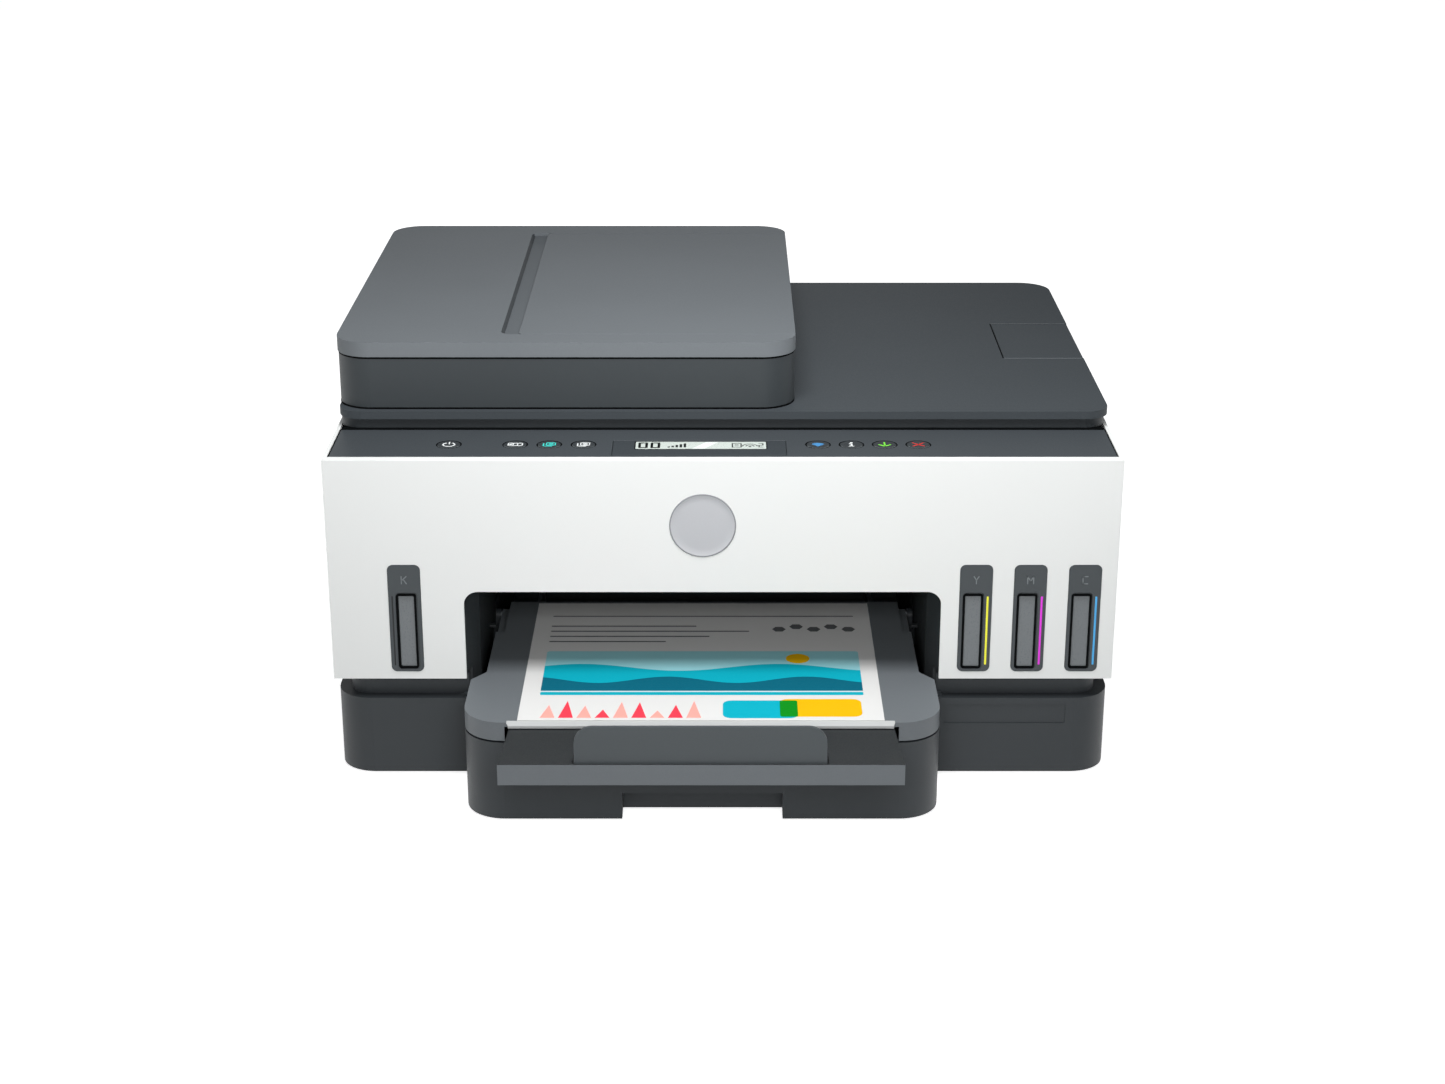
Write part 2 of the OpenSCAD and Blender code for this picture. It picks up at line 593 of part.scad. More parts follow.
module width_guide_left() width_guide(-1);
module width_guide_right() width_guide(1);
module length_guide() color(mid) {
  bx(px - 24, -40.4, 6.6, px + 24, -38, 34);
  bx(px - 12, -38.5, 6.6, px + 12, -30, 8.6);
  bx(px - 12, -43.4, 28, px + 12, -40, 30);
}

// ---- output tray
module output_tray() color(grey) difference() {
  union() {
    difference() {
      rbox(px - tray_half, -tray_out, 48.7, px + tray_half, -2.5, cover_z, [tray_r, tray_r, 0, 0]);
      rbox(px - tray_half + 2, -tray_out + 2, 47, px + tray_half - 2, -1, cover_z - 2.6, [tray_r - 2, tray_r - 2, 0, 0]);
    }
    // shoulders that narrow the tray inside the casing
    translate([px, 0, 49.2]) linear_extrude(cover_z - 49.2) difference() {
      polygon([[-tray_half, -2.6], [tray_half, -2.6], [tray_half - 8.15, 8], [-tray_half + 8.15, 8]]);
      polygon([[-tray_half + 2, -3], [tray_half - 2, -3], [tray_half - 10.15, 9], [-tray_half + 10.15, 9]]);
    }
    bx(px - tray_half + 2, -3, cover_z - 2.6, px + tray_half - 9, 0, cover_z);
    // rear part in the output bay
    difference() {
      bx(px - tray_half + 8.15, 7.9, 49.2, px + tray_half - 8.15, 117.5, cover_z);
      bx(px - tray_half + 10.15, 6, 48, px + tray_half - 10.15, 115.5, cover_z - 2.6);
      for (s = [-1, 1]) bx(px + (s < 0 ? -128 : 120.4), 69, 55, px + (s < 0 ? -120.4 : 128), 118, cover_z + 1);
    }
    translate([px, 0, cover_z - 2.6]) linear_extrude(2.6) polygon([[-tray_half + 1, -3], [tray_half - 1, -3], [tray_half - 8.2, 8.5], [-tray_half + 8.2, 8.5]]);
    for (s = [-1, 1]) {
      bx(px + (s < 0 ? -120.4 : 118.4), 67, 49.2, px + (s < 0 ? -118.4 : 120.4), 117.5, cover_z);
      bx(px + (s < 0 ? -tray_half + 8.15 : 118.4), 67, 49.2, px + (s < 0 ? -118.4 : tray_half - 8.15), 69, cover_z);
      bx(px + (s < 0 ? -tray_half + 8.15 : 118.4), 67, 53, px + (s < 0 ? -118.4 : tray_half - 8.15), 117.5, 55);
      cx(px + (s < 0 ? -129.2 : 125), px + (s < 0 ? -125 : 129.2), 112, 53.5, 2);
    }
    // lip over the extender's mouth
    bx(px - 107.1, -tray_out - 2, 57.2, px + 106.1, -tray_out + 4, 59.4);
  }
  // the lip slopes down to the front
  yz(px - 108.7, px + 107.3) polygon([[-tray_out + 2.6, cover_z], [-tray_out - 2.1, cover_z - 1.22], [-tray_out - 2.1, cover_z + 2], [-tray_out + 2.6, cover_z + 2]]);
  // mouth for the extender
  bx(px - 109.6, -tray_out - 1, 47, px + 109.4, -tray_out + 4, 57.2);
}
module printed_sheet() color("white") bx(px - 102.65, -59.6, cover_z + 0.05, px + 101.45, 114, cover_z + 0.4);
module output_extender() color(grey) difference() {
  union() {
    // top plate, a little narrower towards the tray
    translate([px, 0, 54.4]) linear_extrude(2.6) polygon([[-109.5, -110], [109.5, -110], [106.8, -66], [-106.9, -66]]);
    translate([px, 0, 54.4]) linear_extrude(2.2) polygon([[-106.9, -67], [106.8, -67], [106.8, -18], [-106.9, -18]]);
    // front wall and side walls
    translate([px, 0, 45]) linear_extrude(12) polygon([[-109.5, -110], [109.5, -110], [109.38, -108], [-109.38, -108]]);
    translate([px, 0, 50]) linear_extrude(5) polygon([[-109.5, -110], [-107.5, -110], [-104.9, -66], [-104.9, -18], [-106.9, -18], [-106.9, -66]]);
    translate([px, 0, 50]) linear_extrude(5) polygon([[109.5, -110], [107.5, -110], [104.8, -66], [104.8, -18], [106.8, -18], [106.8, -66]]);
    // box under the folding stop's pocket
    bx(px - 73.6, -108.5, 50, px + 73.6, -79, 55);
    for (x = [-60, -20, 20, 60]) bx(px + x, -80, 50, px + x + 1.6, -18, 55);
  }
  bx(px - 69.3, -108.7, 52, px + 68.7, -81, 58);
  bx(px - 71.3, -108.7, 52, px + 71.3, -105.2, 55.5);
  cx(px - 73.55, px + 73.55, -107, 53.9, 0.9);
}
module paper_stop() color(grey) union() {
  vbox(px - 68.3, 53.9, -108, px + 67.7, 53.9 + stop_h, -106, [0, 0, 10, 10]);
  cx(px - 71, px + 71, -107, 53.9, 1.3);
  cx(px - 73.4, px + 73.4, -107, 53.9, 0.86);
}

// ---- scanner
module scanner_tub() color("#383d3f") difference() {
  union() {
    rbox(-222.7, 57, 193.2, 222.7, 352, 198.6, [12, 12, 18, 18]);
    rbox(-205, 66, 166, 205, 328, 194, [6, 6, 6, 6]);
    for (x = [-156.7, 149.3]) {
      cx(x, x + 7.4, scan_hy, scan_hz, 4.5);
      bx(x, 343.5, 193.3, x + 7.4, scan_hy, 197.5);
      cx(x - 4, x + 11.4, scan_hy, scan_hz, 3);
    }
    // ears for the lid's hinge pins
    for (x = [-124, -110, 106, 120]) {
      cx(x, x + 4, lid_hy, lid_hz, 2.45);
      bx(x, 350, 196.4, x + 4, lid_hy, 199.2);
    }
  }
  rbox(-202.8, 68.2, 168.2, 202.8, 325.8, 195.8, [4, 4, 4, 4]);
  // glass openings
  rbox(-163, 78, 195, 142, 302, 200, [2, 2, 2, 2]);
  rbox(-189, 78, 195, -171, 302, 200, [1, 1, 1, 1]);
  for (x = [-124.5, 105.5]) cx(x, x + 19, lid_hy, lid_hz, 1.3);
  // room for the lid's hinge barrels
  for (x = [-119.9, 110.1]) bx(x, 349.6, 196.2, x + 9.8, 353, 199);
  // pockets for the hinge ears below
  for (x = [-161.4, -149.3, 144.6, 156.7]) bx(x, 344.6, 190, x + 4.7, 353, 198.1);
}
module scanner_glass() color("#9fb4ba", 0.5) {
  rbox(-162.9, 78.1, 196, 141.9, 301.9, 198.5, [2, 2, 2, 2]);
  rbox(-188.9, 78.1, 196, -171.1, 301.9, 198.5, [1, 1, 1, 1]);
}
module scan_bar() color(black) {
  bx(-200, 74, 180, -182, 308, 190);
  bx(-197, 76, 189.5, -185, 306, 194.6);
  for (y = [84, 292]) bx(-196, y, 170.4, -186, y + 6, 180.5);
}

// ---- lid
module scanner_lid() color(dark) difference() {
  union() {
    rbox(-223.6, 55, lid_z0, 224.5, 355, lid_z1, [14, 14, 20, 20]);
    for (x = [-119.6, 110.4]) { cx(x, x + 9.2, lid_hy, lid_hz, 2.3); bx(x, 350.2, 199, x + 9.2, lid_hy, 201); }
    for (x = [-123.8, 106.2]) cx(x, x + 17.6, lid_hy, lid_hz, 1.25);
  }
  // recess for the pad
  rbox(-170, 72, lid_z0 - 1, 150, 308, 201.2, [4, 4, 4, 4]);
  // document feeder window
  rbox(-190, 76, lid_z0 - 1, -174, 304, lid_z1 + 1, [2, 2, 2, 2]);
  // pocket of the folding stop, open at the right edge
  bx(174.7, 166.4, 200.9, 226, 246.8, lid_z1 + 1);
  // pockets for the scanner's hinge ears
  for (x = [-124.4, -110.2, 105.6, 119.8]) bx(x, 349.6, lid_z0 - 3, x + 4.6, 356, 201.8);
  // swing space around the barrels
  for (x = [-119.8, 110.2]) bx(x, 355.6, lid_z0 - 3, x + 9.6, 356, 201.8);
}
module lid_pad() color("white") rbox(-169, 73, 198.95, 149, 307, 201.1, [3, 3, 3, 3]);
module adf_body() color(dark) difference() {
  union() {
    difference() {
      rbox(-224.3, 60, lid_z1, adf_x1 - 0.5, 354.6, 234.2, [20, 20, 20, 20]);
      rbox(-222.1, 62.2, 206, adf_x1 - 2.7, 352.4, 235, [17.8, 17.8, 17.8, 17.8]);
    }
    // sloping input floor and its side guides
    yz2(84, 328) polygon([[-120, 222], [38, 229.5], [38, 231.5], [-120, 224]]);
    for (y = [102, 306]) bx(-60, y, 226, 10, y + 2, 236);
    // partition between the feed works and the input floor
    bx(-122.5, 62, 205.5, -120.3, 353, 228);
    for (y = [84, 326.2]) bx(-121, y - 0.2, 205.5, 40, y + 2, 232);
    // bearing plates of the feed rollers
    for (y = [78, 334]) bx(-214, y, 205.5, -128, y + 2.4, 230);
  }
  // output slot on the right, over the lid
  bx(adf_x1 - 4, 96, 206, adf_x1 + 1, 316, 218);
  for (y = [70, 330]) { cy(-150, 220, y, y + 14, 3.05); cy(-186, 216, y, y + 14, 3.05); }
  // document window in the floor
  rbox(-189, 96, 200, -175, 316, 207, [1, 1, 1, 1]);
}
module yz2(y0, y1) translate([0, y1, 0]) rotate([90, 0, 0]) linear_extrude(y1 - y0) children();
module adf_rollers() color("#55595c") {
  cy(-150, 220, 74, 340.8, 3);
  for (y = [150, 190, 230]) cy(-150, 220, y, y + 22, 9);
  cy(-150, 220, 342, 347, 8);
  cy(-150, 220, 340, 342.2, 3);
}
module adf_top_cover() color(grey) difference() {
  union() {
    difference() {
      rbox(-224.75, 59.4, 234.9, adf_x1, 355, adf_top, [20, 20, 20, 20]);
      rbox(-223, 61.2, 234, adf_x1 - 1.6, 353.2, adf_top - 2.4, [18, 18, 18, 18]);
      bx(adf_x1 - 4, 79, 234, adf_x1 + 2, 331.4, adf_top + 1);
    }
    // inner lips beside the input lid
    bx(-131.5, 76.2, 237.4, adf_x1 - 0.1, 77.4, adf_top - 1);
    bx(-131.5, 333, 237.4, adf_x1 - 0.1, 334.2, adf_top - 1);
  }
  // finger recess and the place of the input lid
  rbox(-119, 77.4, 233, adf_x1 + 2, 333, adf_top + 1, [3.3, 0, 0, 5.3]);
  intersection() {
    yz2(77.4, 333) polygon([[-129.5, adf_top + 0.1], [-127.5, 241.9], [-117, 241.9], [-117, adf_top + 1], [-129.5, adf_top + 1]]);
    rbox(-129.5, 77.4, 240, -110, 333, adf_top + 2, [6, 0, 0, 6]);
  }
}
module adf_tray_cover() color("#72777a") difference() {
  union() {
    difference() {
      translate([0, 0, 235.3]) linear_extrude(adf_top - 235.3) rr(-118.7, 77.7, adf_x1, 332.7, [3, 0, 0, 5]);
      bx(-125, 79.5, 234, adf_x1 - 1.2, 330.9, adf_top - 2.4);
      bx(-125, 70, 234, adf_x1 - 8, 340, 240.6);
    }
  }
}
module output_flap() color("#44494b") difference() {
  bx(175, 166.7, 201.3, 224.3, 246.5, lid_z1);
  bx(174, 192, 200, 178, 221, 202.6);
}

// ---- rear access door
module rear_door() color(dark) difference() {
  union() {
    bx(-132, body_d - 3, 60.4, 108, body_d - 0.3, 151.6);
    for (x = [-120, -80, -40, 0, 40, 80]) yz(x, x + 2) polygon([[body_d - 2.5, 70], [body_d - 2.5, 145], [body_d - 8, 138], [body_d - 16, 110], [body_d - 20, 88], [body_d - 16, 72]]);
    cx(-131.8, 107.8, body_d - 1.9, 61.6, 1.2);
  }
  // finger pull
  vbox(-32, 140, body_d - 1.6, 8, 148, body_d + 1, [4, 4, 4, 4]);
}

place() base_tub();
place() front_side_panel();
place() rear_cover();
place() mid_frame();
place() side_frames();
place() output_bay();
place() control_panel();
place() lcd_module();
place() gauge_bezels();
place() ink_tank_black();
place() ink_tanks_color();
place() guide_rail();
place() carriage_belt();
place() carriage_motor();
place() feed_motor();
place() platen();
place() service_station();
place() main_board();
place() power_supply();
place() power_inlet();
place() rubber_feet();
place() case_screws();
place() power_button();
place() id_copy_button();
place() color_copy_button();
place() black_copy_button();
place() wireless_button();
place() info_button();
place() resume_button();
place() cancel_button();
place() tank_cap_black();
place() tank_cap_yellow();
place() tank_cap_magenta();
place() tank_cap_cyan();
place() carriage();
place() print_heads();
place() feed_roller();
place() exit_roller();
place() pickup_roller();
place() exit_idler_gear();
place() pickup_idler_gear();
place() input_tray();
place() width_guide_left();
place() width_guide_right();
place() length_guide();
place() output_tray();
place() printed_sheet();
place() output_extender();
place() paper_stop();
place() scanner_tub();
place() scanner_glass();
place() scan_bar();
place() scanner_lid();
place() lid_pad();
place() adf_body();
place() adf_top_cover();
place() adf_tray_cover();
place() adf_rollers();
place() output_flap();
place() rear_door();
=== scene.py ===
import bpy
import bmesh
import json
import math
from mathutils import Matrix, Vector
from mathutils.bvhtree import BVHTree

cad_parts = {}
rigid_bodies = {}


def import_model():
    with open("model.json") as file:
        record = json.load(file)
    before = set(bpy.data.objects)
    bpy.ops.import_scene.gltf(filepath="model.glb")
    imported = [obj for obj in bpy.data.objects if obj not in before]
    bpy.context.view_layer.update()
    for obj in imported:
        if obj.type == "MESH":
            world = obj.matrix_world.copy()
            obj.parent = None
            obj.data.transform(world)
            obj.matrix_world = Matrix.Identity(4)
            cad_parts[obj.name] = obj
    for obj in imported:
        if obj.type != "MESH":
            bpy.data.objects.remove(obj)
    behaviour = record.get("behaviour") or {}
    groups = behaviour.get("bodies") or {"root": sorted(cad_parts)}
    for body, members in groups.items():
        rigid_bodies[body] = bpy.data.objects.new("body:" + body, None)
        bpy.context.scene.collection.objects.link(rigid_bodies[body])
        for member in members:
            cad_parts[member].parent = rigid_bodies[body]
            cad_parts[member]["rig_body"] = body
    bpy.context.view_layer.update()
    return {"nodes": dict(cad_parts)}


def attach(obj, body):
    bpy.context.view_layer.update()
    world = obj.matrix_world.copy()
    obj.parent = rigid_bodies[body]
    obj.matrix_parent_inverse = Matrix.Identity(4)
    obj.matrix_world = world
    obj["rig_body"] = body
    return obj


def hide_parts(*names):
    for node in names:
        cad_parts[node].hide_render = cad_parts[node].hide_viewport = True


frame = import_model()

Y_SHIFT, FOOT = -122.5, 2.5


def mm(x, y, z):
    """Machine coordinates in millimetres (front shell at y 0, base at z 0) to the frame, in metres."""
    return Vector((x / 1000, (y + Y_SHIFT) / 1000, (z + FOOT) / 1000))


def to_mm(v):
    return (v[0] * 1000, v[1] * 1000 - Y_SHIFT, v[2] * 1000 - FOOT)


def link(o):
    bpy.context.scene.collection.objects.link(o)
    return o


# ------------------------------------------------------------ camera, light, floor
scene = bpy.context.scene
cam_data = bpy.data.cameras.new("camera")
cam = link(bpy.data.objects.new("camera", cam_data))
cam.location = mm(-0.2, -1278.6, 620.8)
cam.rotation_euler = (math.radians(90 - 20.47), 0, 0)
cam_data.sensor_width = 36
cam_data.lens = 36 * 2411 / 1445
cam_data.clip_start, cam_data.clip_end = 0.05, 30
scene.camera = cam
scene.view_settings.view_transform = "Standard"
scene.view_settings.look = "None"

world = bpy.data.worlds.new("studio")
scene.world = world
world.use_nodes = True
world.node_tree.nodes["Background"].inputs[0].default_value = (0.985, 1.0, 1.0, 1)
world.node_tree.nodes["Background"].inputs[1].default_value = 0.22


def area(name, loc, target, size, power, size_y=None, colour=(1, 1, 1)):
    d = bpy.data.lights.new(name, "AREA")
    d.shape = "RECTANGLE"
    d.size, d.size_y = size, size_y or size
    d.energy = power
    d.color = colour
    o = link(bpy.data.objects.new(name, d))
    o.visible_camera = False
    o.location = loc
    o.rotation_euler = (Vector(target) - Vector(loc)).to_track_quat("-Z", "Y").to_euler()
    return o


area("key_top", (0.03, -0.31, 0.76), (0.02, -0.06, 0.15), 0.36, 4.8, 0.26)
area("front_soft", (0.02, -0.93, 0.47), (0.0, 0.0, 0.10), 0.4, 4.1, 0.24)
area("back_soft", (-0.3, 1.9, 0.25), (0, 0, 0.1), 1.4, 5.5, 0.3)
area("left_soft", (-2.2, 0.3, 0.28), (0, 0, 0.1), 1.2, 10.0, 0.4)
area("right_soft", (2.2, 0.3, 0.28), (0, 0, 0.1), 1.2, 10.0, 0.4)

# ------------------------------------------------------------ materials


def lin(r, g, b):
    f = lambda c: c / 12.92 if c <= 0.04045 else ((c + 0.055) / 1.055) ** 2.4
    return (f(r / 255), f(g / 255), f(b / 255), 1.0)


def base_material(name):
    m = bpy.data.materials.new(name)
    m.use_nodes = True
    nt = m.node_tree
    bsdf = nt.nodes["Principled BSDF"]
    return m, nt, bsdf


def plastic(name, colour, rough=0.52, var=0.05, grain=1400.0, bump=0.05, depth=0.00004, spec=0.3, coat=0.0):
    """Moulded plastic: faint colour drift, fine spark-eroded grain in roughness and relief."""
    m, nt, b = base_material(name)
    tex = nt.nodes.new("ShaderNodeTexCoord")
    fine = nt.nodes.new("ShaderNodeTexNoise")
    fine.inputs["Scale"].default_value = grain
    fine.inputs["Detail"].default_value = 2.0
    wide = nt.nodes.new("ShaderNodeTexNoise")
    wide.inputs["Scale"].default_value = 9.0
    wide.inputs["Detail"].default_value = 3.0
    nt.links.new(tex.outputs["Object"], fine.inputs["Vector"])
    nt.links.new(tex.outputs["Object"], wide.inputs["Vector"])
    mixv = nt.nodes.new("ShaderNodeMath")
    mixv.operation = "MULTIPLY_ADD"
    mixv.inputs[1].default_value = 0.5
    nt.links.new(fine.outputs["Fac"], mixv.inputs[0])
    half = nt.nodes.new("ShaderNodeMath")
    half.operation = "MULTIPLY"
    half.inputs[1].default_value = 0.5
    nt.links.new(wide.outputs["Fac"], half.inputs[0])
    nt.links.new(half.outputs[0], mixv.inputs[2])
    ramp = nt.nodes.new("ShaderNodeValToRGB")
    lo = [c * (1 - var) for c in colour[:3]] + [1]
    hi = [min(1, c * (1 + var)) for c in colour[:3]] + [1]
    ramp.color_ramp.elements[0].position = 0.3
    ramp.color_ramp.elements[1].position = 0.7
    ramp.color_ramp.elements[0].color = lo
    ramp.color_ramp.elements[1].color = hi
    nt.links.new(mixv.outputs[0], ramp.inputs["Fac"])
    nt.links.new(ramp.outputs["Color"], b.inputs["Base Color"])
    rr = nt.nodes.new("ShaderNodeMapRange")
    rr.inputs["From Min"].default_value = 0.3
    rr.inputs["From Max"].default_value = 0.7
    rr.inputs["To Min"].default_value = max(0.02, rough - 0.05)
    rr.inputs["To Max"].default_value = min(1, rough + 0.05)
    nt.links.new(fine.outputs["Fac"], rr.inputs["Value"])
    nt.links.new(rr.outputs["Result"], b.inputs["Roughness"])
    if bump:
        bm = nt.nodes.new("ShaderNodeBump")
        bm.inputs["Strength"].default_value = bump
        bm.inputs["Distance"].default_value = depth
        nt.links.new(fine.outputs["Fac"], bm.inputs["Height"])
        nt.links.new(bm.outputs["Normal"], b.inputs["Normal"])
    b.inputs["Specular IOR Level"].default_value = spec
    if coat:
        b.inputs["Coat Weight"].default_value = coat
        b.inputs["Coat Roughness"].default_value = 0.12
    return m


def metal(name, colour, rough=0.32, axis=(1, 60, 60), bump=0.04):
    m, nt, b = base_material(name)
    b.inputs["Metallic"].default_value = 1.0
    tex = nt.nodes.new("ShaderNodeTexCoord")
    mp = nt.nodes.new("ShaderNodeMapping")
    mp.inputs["Scale"].default_value = axis
    n = nt.nodes.new("ShaderNodeTexNoise")
    n.inputs["Scale"].default_value = 30.0
    n.inputs["Detail"].default_value = 4.0
    nt.links.new(tex.outputs["Object"], mp.inputs["Vector"])
    nt.links.new(mp.outputs["Vector"], n.inputs["Vector"])
    ramp = nt.nodes.new("ShaderNodeValToRGB")
    ramp.color_ramp.elements[0].color = [c * 0.85 for c in colour[:3]] + [1]
    ramp.color_ramp.elements[1].color = [min(1, c * 1.1) for c in colour[:3]] + [1]
    nt.links.new(n.outputs["Fac"], ramp.inputs["Fac"])
    nt.links.new(ramp.outputs["Color"], b.inputs["Base Color"])
    rr = nt.nodes.new("ShaderNodeMapRange")
    rr.inputs["To Min"].default_value = rough - 0.08
    rr.inputs["To Max"].default_value = rough + 0.08
    nt.links.new(n.outputs["Fac"], rr.inputs["Value"])
    nt.links.new(rr.outputs["Result"], b.inputs["Roughness"])
    bm = nt.nodes.new("ShaderNodeBump")
    bm.inputs["Strength"].default_value = bump
    bm.inputs["Distance"].default_value = 0.00005
    nt.links.new(n.outputs["Fac"], bm.inputs["Height"])
    nt.links.new(bm.outputs["Normal"], b.inputs["Normal"])
    return m


M = {}
M["dark"] = plastic("dark_shell", lin(43, 47, 50))
M["tub"] = plastic("dark_scanner", lin(40, 44, 47))
M["cass"] = plastic("dark_cassette", lin(47, 51, 54))
M["lid"] = plastic("dark_lid", lin(64, 69, 73), 0.58, spec=0.12)
M["adf"] = plastic("dark_feeder", lin(53, 58, 61))
M["inner"] = plastic("inner_frame", lin(40, 43, 45), 0.6)
M["white"] = plastic("white_shell", lin(232, 234, 233), 0.5, var=0.006, bump=0.02)
M["panel"] = plastic("control_plate", lin(64, 69, 73), 0.5)
M["display"] = plastic("display_plate", lin(58, 63, 67), 0.42)
M["button"] = plastic("button_cap", lin(54, 58, 61), 0.45)
M["bezel"] = plastic("gauge_frame", lin(62, 67, 70), 0.45)
M["grey"] = plastic("grey_cover", lin(101, 106, 110), 0.56, spec=0.15)
M["grey2"] = plastic("grey_tray", lin(102, 107, 111), 0.5)
# painted light: a lighter copy of the feeder cover's grey, for its lit sides
M["grey_side"] = plastic("cover_side_painted_light", lin(113, 118, 122), 0.56, spec=0.15)
# painted shade: a darker copy of the feeder cover's grey for the floor of its finger recess
M["grey_low"] = plastic("recess_floor_painted_shade", lin(90, 95, 99), 0.56, spec=0.15)
# painted shade: dark grey for the recess's left wall, which stands in the shade
M["wall"] = plastic("recess_side_painted_shade", lin(58, 62, 65), 0.6, spec=0.1)
# painted highlight: pale grey for thin edges that catch the light
M["edge_painted_highlight"] = plastic("edge_painted_highlight", lin(122, 128, 132), 0.5, spec=0.15)
M["outline"] = plastic("outline_black", lin(7, 9, 10), 0.85, spec=0.05)
# painted shadow: near-black for the shade in the feeder's gaps
M["seam"] = plastic("gap_shadow_black", lin(5, 6, 7), 0.85, spec=0.05)
M["stop"] = plastic("grey_stop", lin(70, 75, 78), 0.5)
# painted shade: a darker copy of the extender's grey for its shaded top
M["extop"] = plastic("extender_top_painted_shade", lin(38, 41, 43), 0.6)
# painted highlight: pale grey for the lip's lit chamfer
M["lip"] = plastic("lip_painted_highlight", lin(176, 178, 178), 0.4, var=0.02)
M["black"] = plastic("black_works", lin(24, 26, 28), 0.5)
M["window"] = plastic("tank_front", lin(104, 109, 112), 0.3, coat=0.2)
M["capk"] = plastic("cap_black_mat", lin(28, 29, 31), 0.45)
M["capy"] = plastic("cap_yellow_mat", lin(240, 214, 40), 0.45)
M["capm"] = plastic("cap_magenta_mat", lin(210, 40, 140), 0.45)
M["capc"] = plastic("cap_cyan_mat", lin(40, 150, 210), 0.45)
M["rubber"] = plastic("rubber_mat", lin(34, 35, 36), 0.8, grain=900, bump=0.2)
M["roller"] = plastic("roller_mat", lin(70, 72, 74), 0.75, grain=900, bump=0.2)
M["gear"] = plastic("acetal_mat", lin(210, 208, 198), 0.4)
M["board"] = plastic("board_mat", lin(38, 96, 62), 0.35, coat=0.3)
M["head"] = plastic("head_mat", lin(52, 84, 124), 0.45)
M["paper"] = plastic("sheet_paper", lin(211, 211, 210), 0.8, var=0.01, grain=600, bump=0.05, spec=0.15)
M["foam"] = plastic("lid_foam", lin(236, 236, 234), 0.8, var=0.02, grain=500, bump=0.2)
M["badge"] = plastic("badge_disc", lin(186, 188, 192), 0.42, var=0.02, bump=0.03)
M["badge_rim"] = plastic("badge_rim", lin(140, 142, 146), 0.4, var=0.02)
M["glow_white"] = plastic("icon_white", lin(232, 236, 236), 0.5, var=0.02, spec=0.2)
M["glow_teal"] = plastic("icon_teal", lin(70, 214, 204), 0.5, var=0.02, spec=0.2)
M["glow_blue"] = plastic("icon_blue", lin(72, 136, 190), 0.5, var=0.02, spec=0.2)
M["glow_green"] = plastic("icon_green", lin(122, 220, 70), 0.5, var=0.02, spec=0.2)
M["glow_red"] = plastic("icon_red", lin(206, 58, 54), 0.5, var=0.02, spec=0.2)
M["ring_dark"] = plastic("ring_dark", lin(22, 24, 26), 0.55)
M["ring_pale"] = plastic("ring_pale", lin(112, 118, 120), 0.45)
M["lcd"] = plastic("lcd_face", lin(204, 213, 207), 0.3, var=0.02, bump=0.0, coat=0.2)
M["lcd_hi"] = plastic("lcd_shine", lin(236, 242, 238), 0.3, var=0.02, bump=0.0, coat=0.2)
M["lcd_ink"] = plastic("lcd_segment", lin(16, 20, 19), 0.4, var=0.02, bump=0.0)
M["mark"] = plastic("letter_grey", lin(116, 122, 125), 0.5, var=0.02)
M["stripe_y"] = plastic("stripe_yellow", lin(252, 248, 70), 0.5, var=0.01)
M["stripe_m"] = plastic("stripe_magenta", lin(236, 62, 232), 0.5, var=0.01)
M["stripe_c"] = plastic("stripe_cyan", lin(84, 176, 236), 0.5, var=0.01)
for k, c in {"teal": (0, 164, 184), "teal_dark": (0, 96, 118), "teal_pale": (150, 208, 216), "yellow": (224, 174, 0), "green": (0, 132, 20),
             "pink": (250, 160, 150), "red": (238, 60, 78), "greyink": (96, 98, 100)}.items():
    M["ink_" + k] = plastic("print_" + k, lin(*c), 0.8, var=0.02, grain=700, bump=0.03, spec=0.15)
M["steel"] = metal("zinc_steel", (0.55, 0.56, 0.57))
M["motor"] = metal("motor_can", (0.48, 0.49, 0.5), 0.3)
M["screw"] = metal("screw_black", (0.07, 0.07, 0.075), 0.4)


def glass(name, colour, rough=0.05, alpha=0.35):
    m, nt, b = base_material(name)
    tex = nt.nodes.new("ShaderNodeTexCoord")
    n = nt.nodes.new("ShaderNodeTexNoise")
    n.inputs["Scale"].default_value = 20.0
    nt.links.new(tex.outputs["Object"], n.inputs["Vector"])
    ramp = nt.nodes.new("ShaderNodeValToRGB")
    ramp.color_ramp.elements[0].color = [c * 0.96 for c in colour[:3]] + [1]
    ramp.color_ramp.elements[1].color = list(colour[:3]) + [1]
    nt.links.new(n.outputs["Fac"], ramp.inputs["Fac"])
    nt.links.new(ramp.outputs["Color"], b.inputs["Base Color"])
    b.inputs["Roughness"].default_value = rough
    b.inputs["Alpha"].default_value = alpha
    b.inputs["Coat Weight"].default_value = 0.5
    return m


M["glass"] = glass("scan_glass", (0.55, 0.65, 0.66), alpha=0.3)

# ------------------------------------------------------------ CAD nodes, refined


def bake(o):
    """The object's mesh with its modifiers, cleaned of specks, with creases marked by angle."""
    dg = bpy.context.evaluated_depsgraph_get()
    dg.update()
    me = bpy.data.meshes.new_from_object(o.evaluated_get(dg), depsgraph=dg)
    bm = bmesh.new()
    bm.from_mesh(me)
    bmesh.ops.remove_doubles(bm, verts=bm.verts, dist=1.5e-6)
    bmesh.ops.dissolve_degenerate(bm, dist=1.5e-6, edges=bm.edges)
    crease = math.radians(17)
    for e in bm.edges:
        e.smooth = False
        if len(e.link_faces) == 2:
            turn, areas = e.calc_face_angle(3.0), sorted(f.calc_area() for f in e.link_faces)
            e.smooth = turn < crease and (turn < 0.02 or areas[1] < 8 * areas[0])
    for f in bm.faces:
        f.smooth = True
    bmesh.ops.triangulate(bm, faces=[f for f in bm.faces if len(f.verts) > 4], quad_method="BEAUTY", ngon_method="BEAUTY")
    bm.to_mesh(me)
    bm.free()
    return me


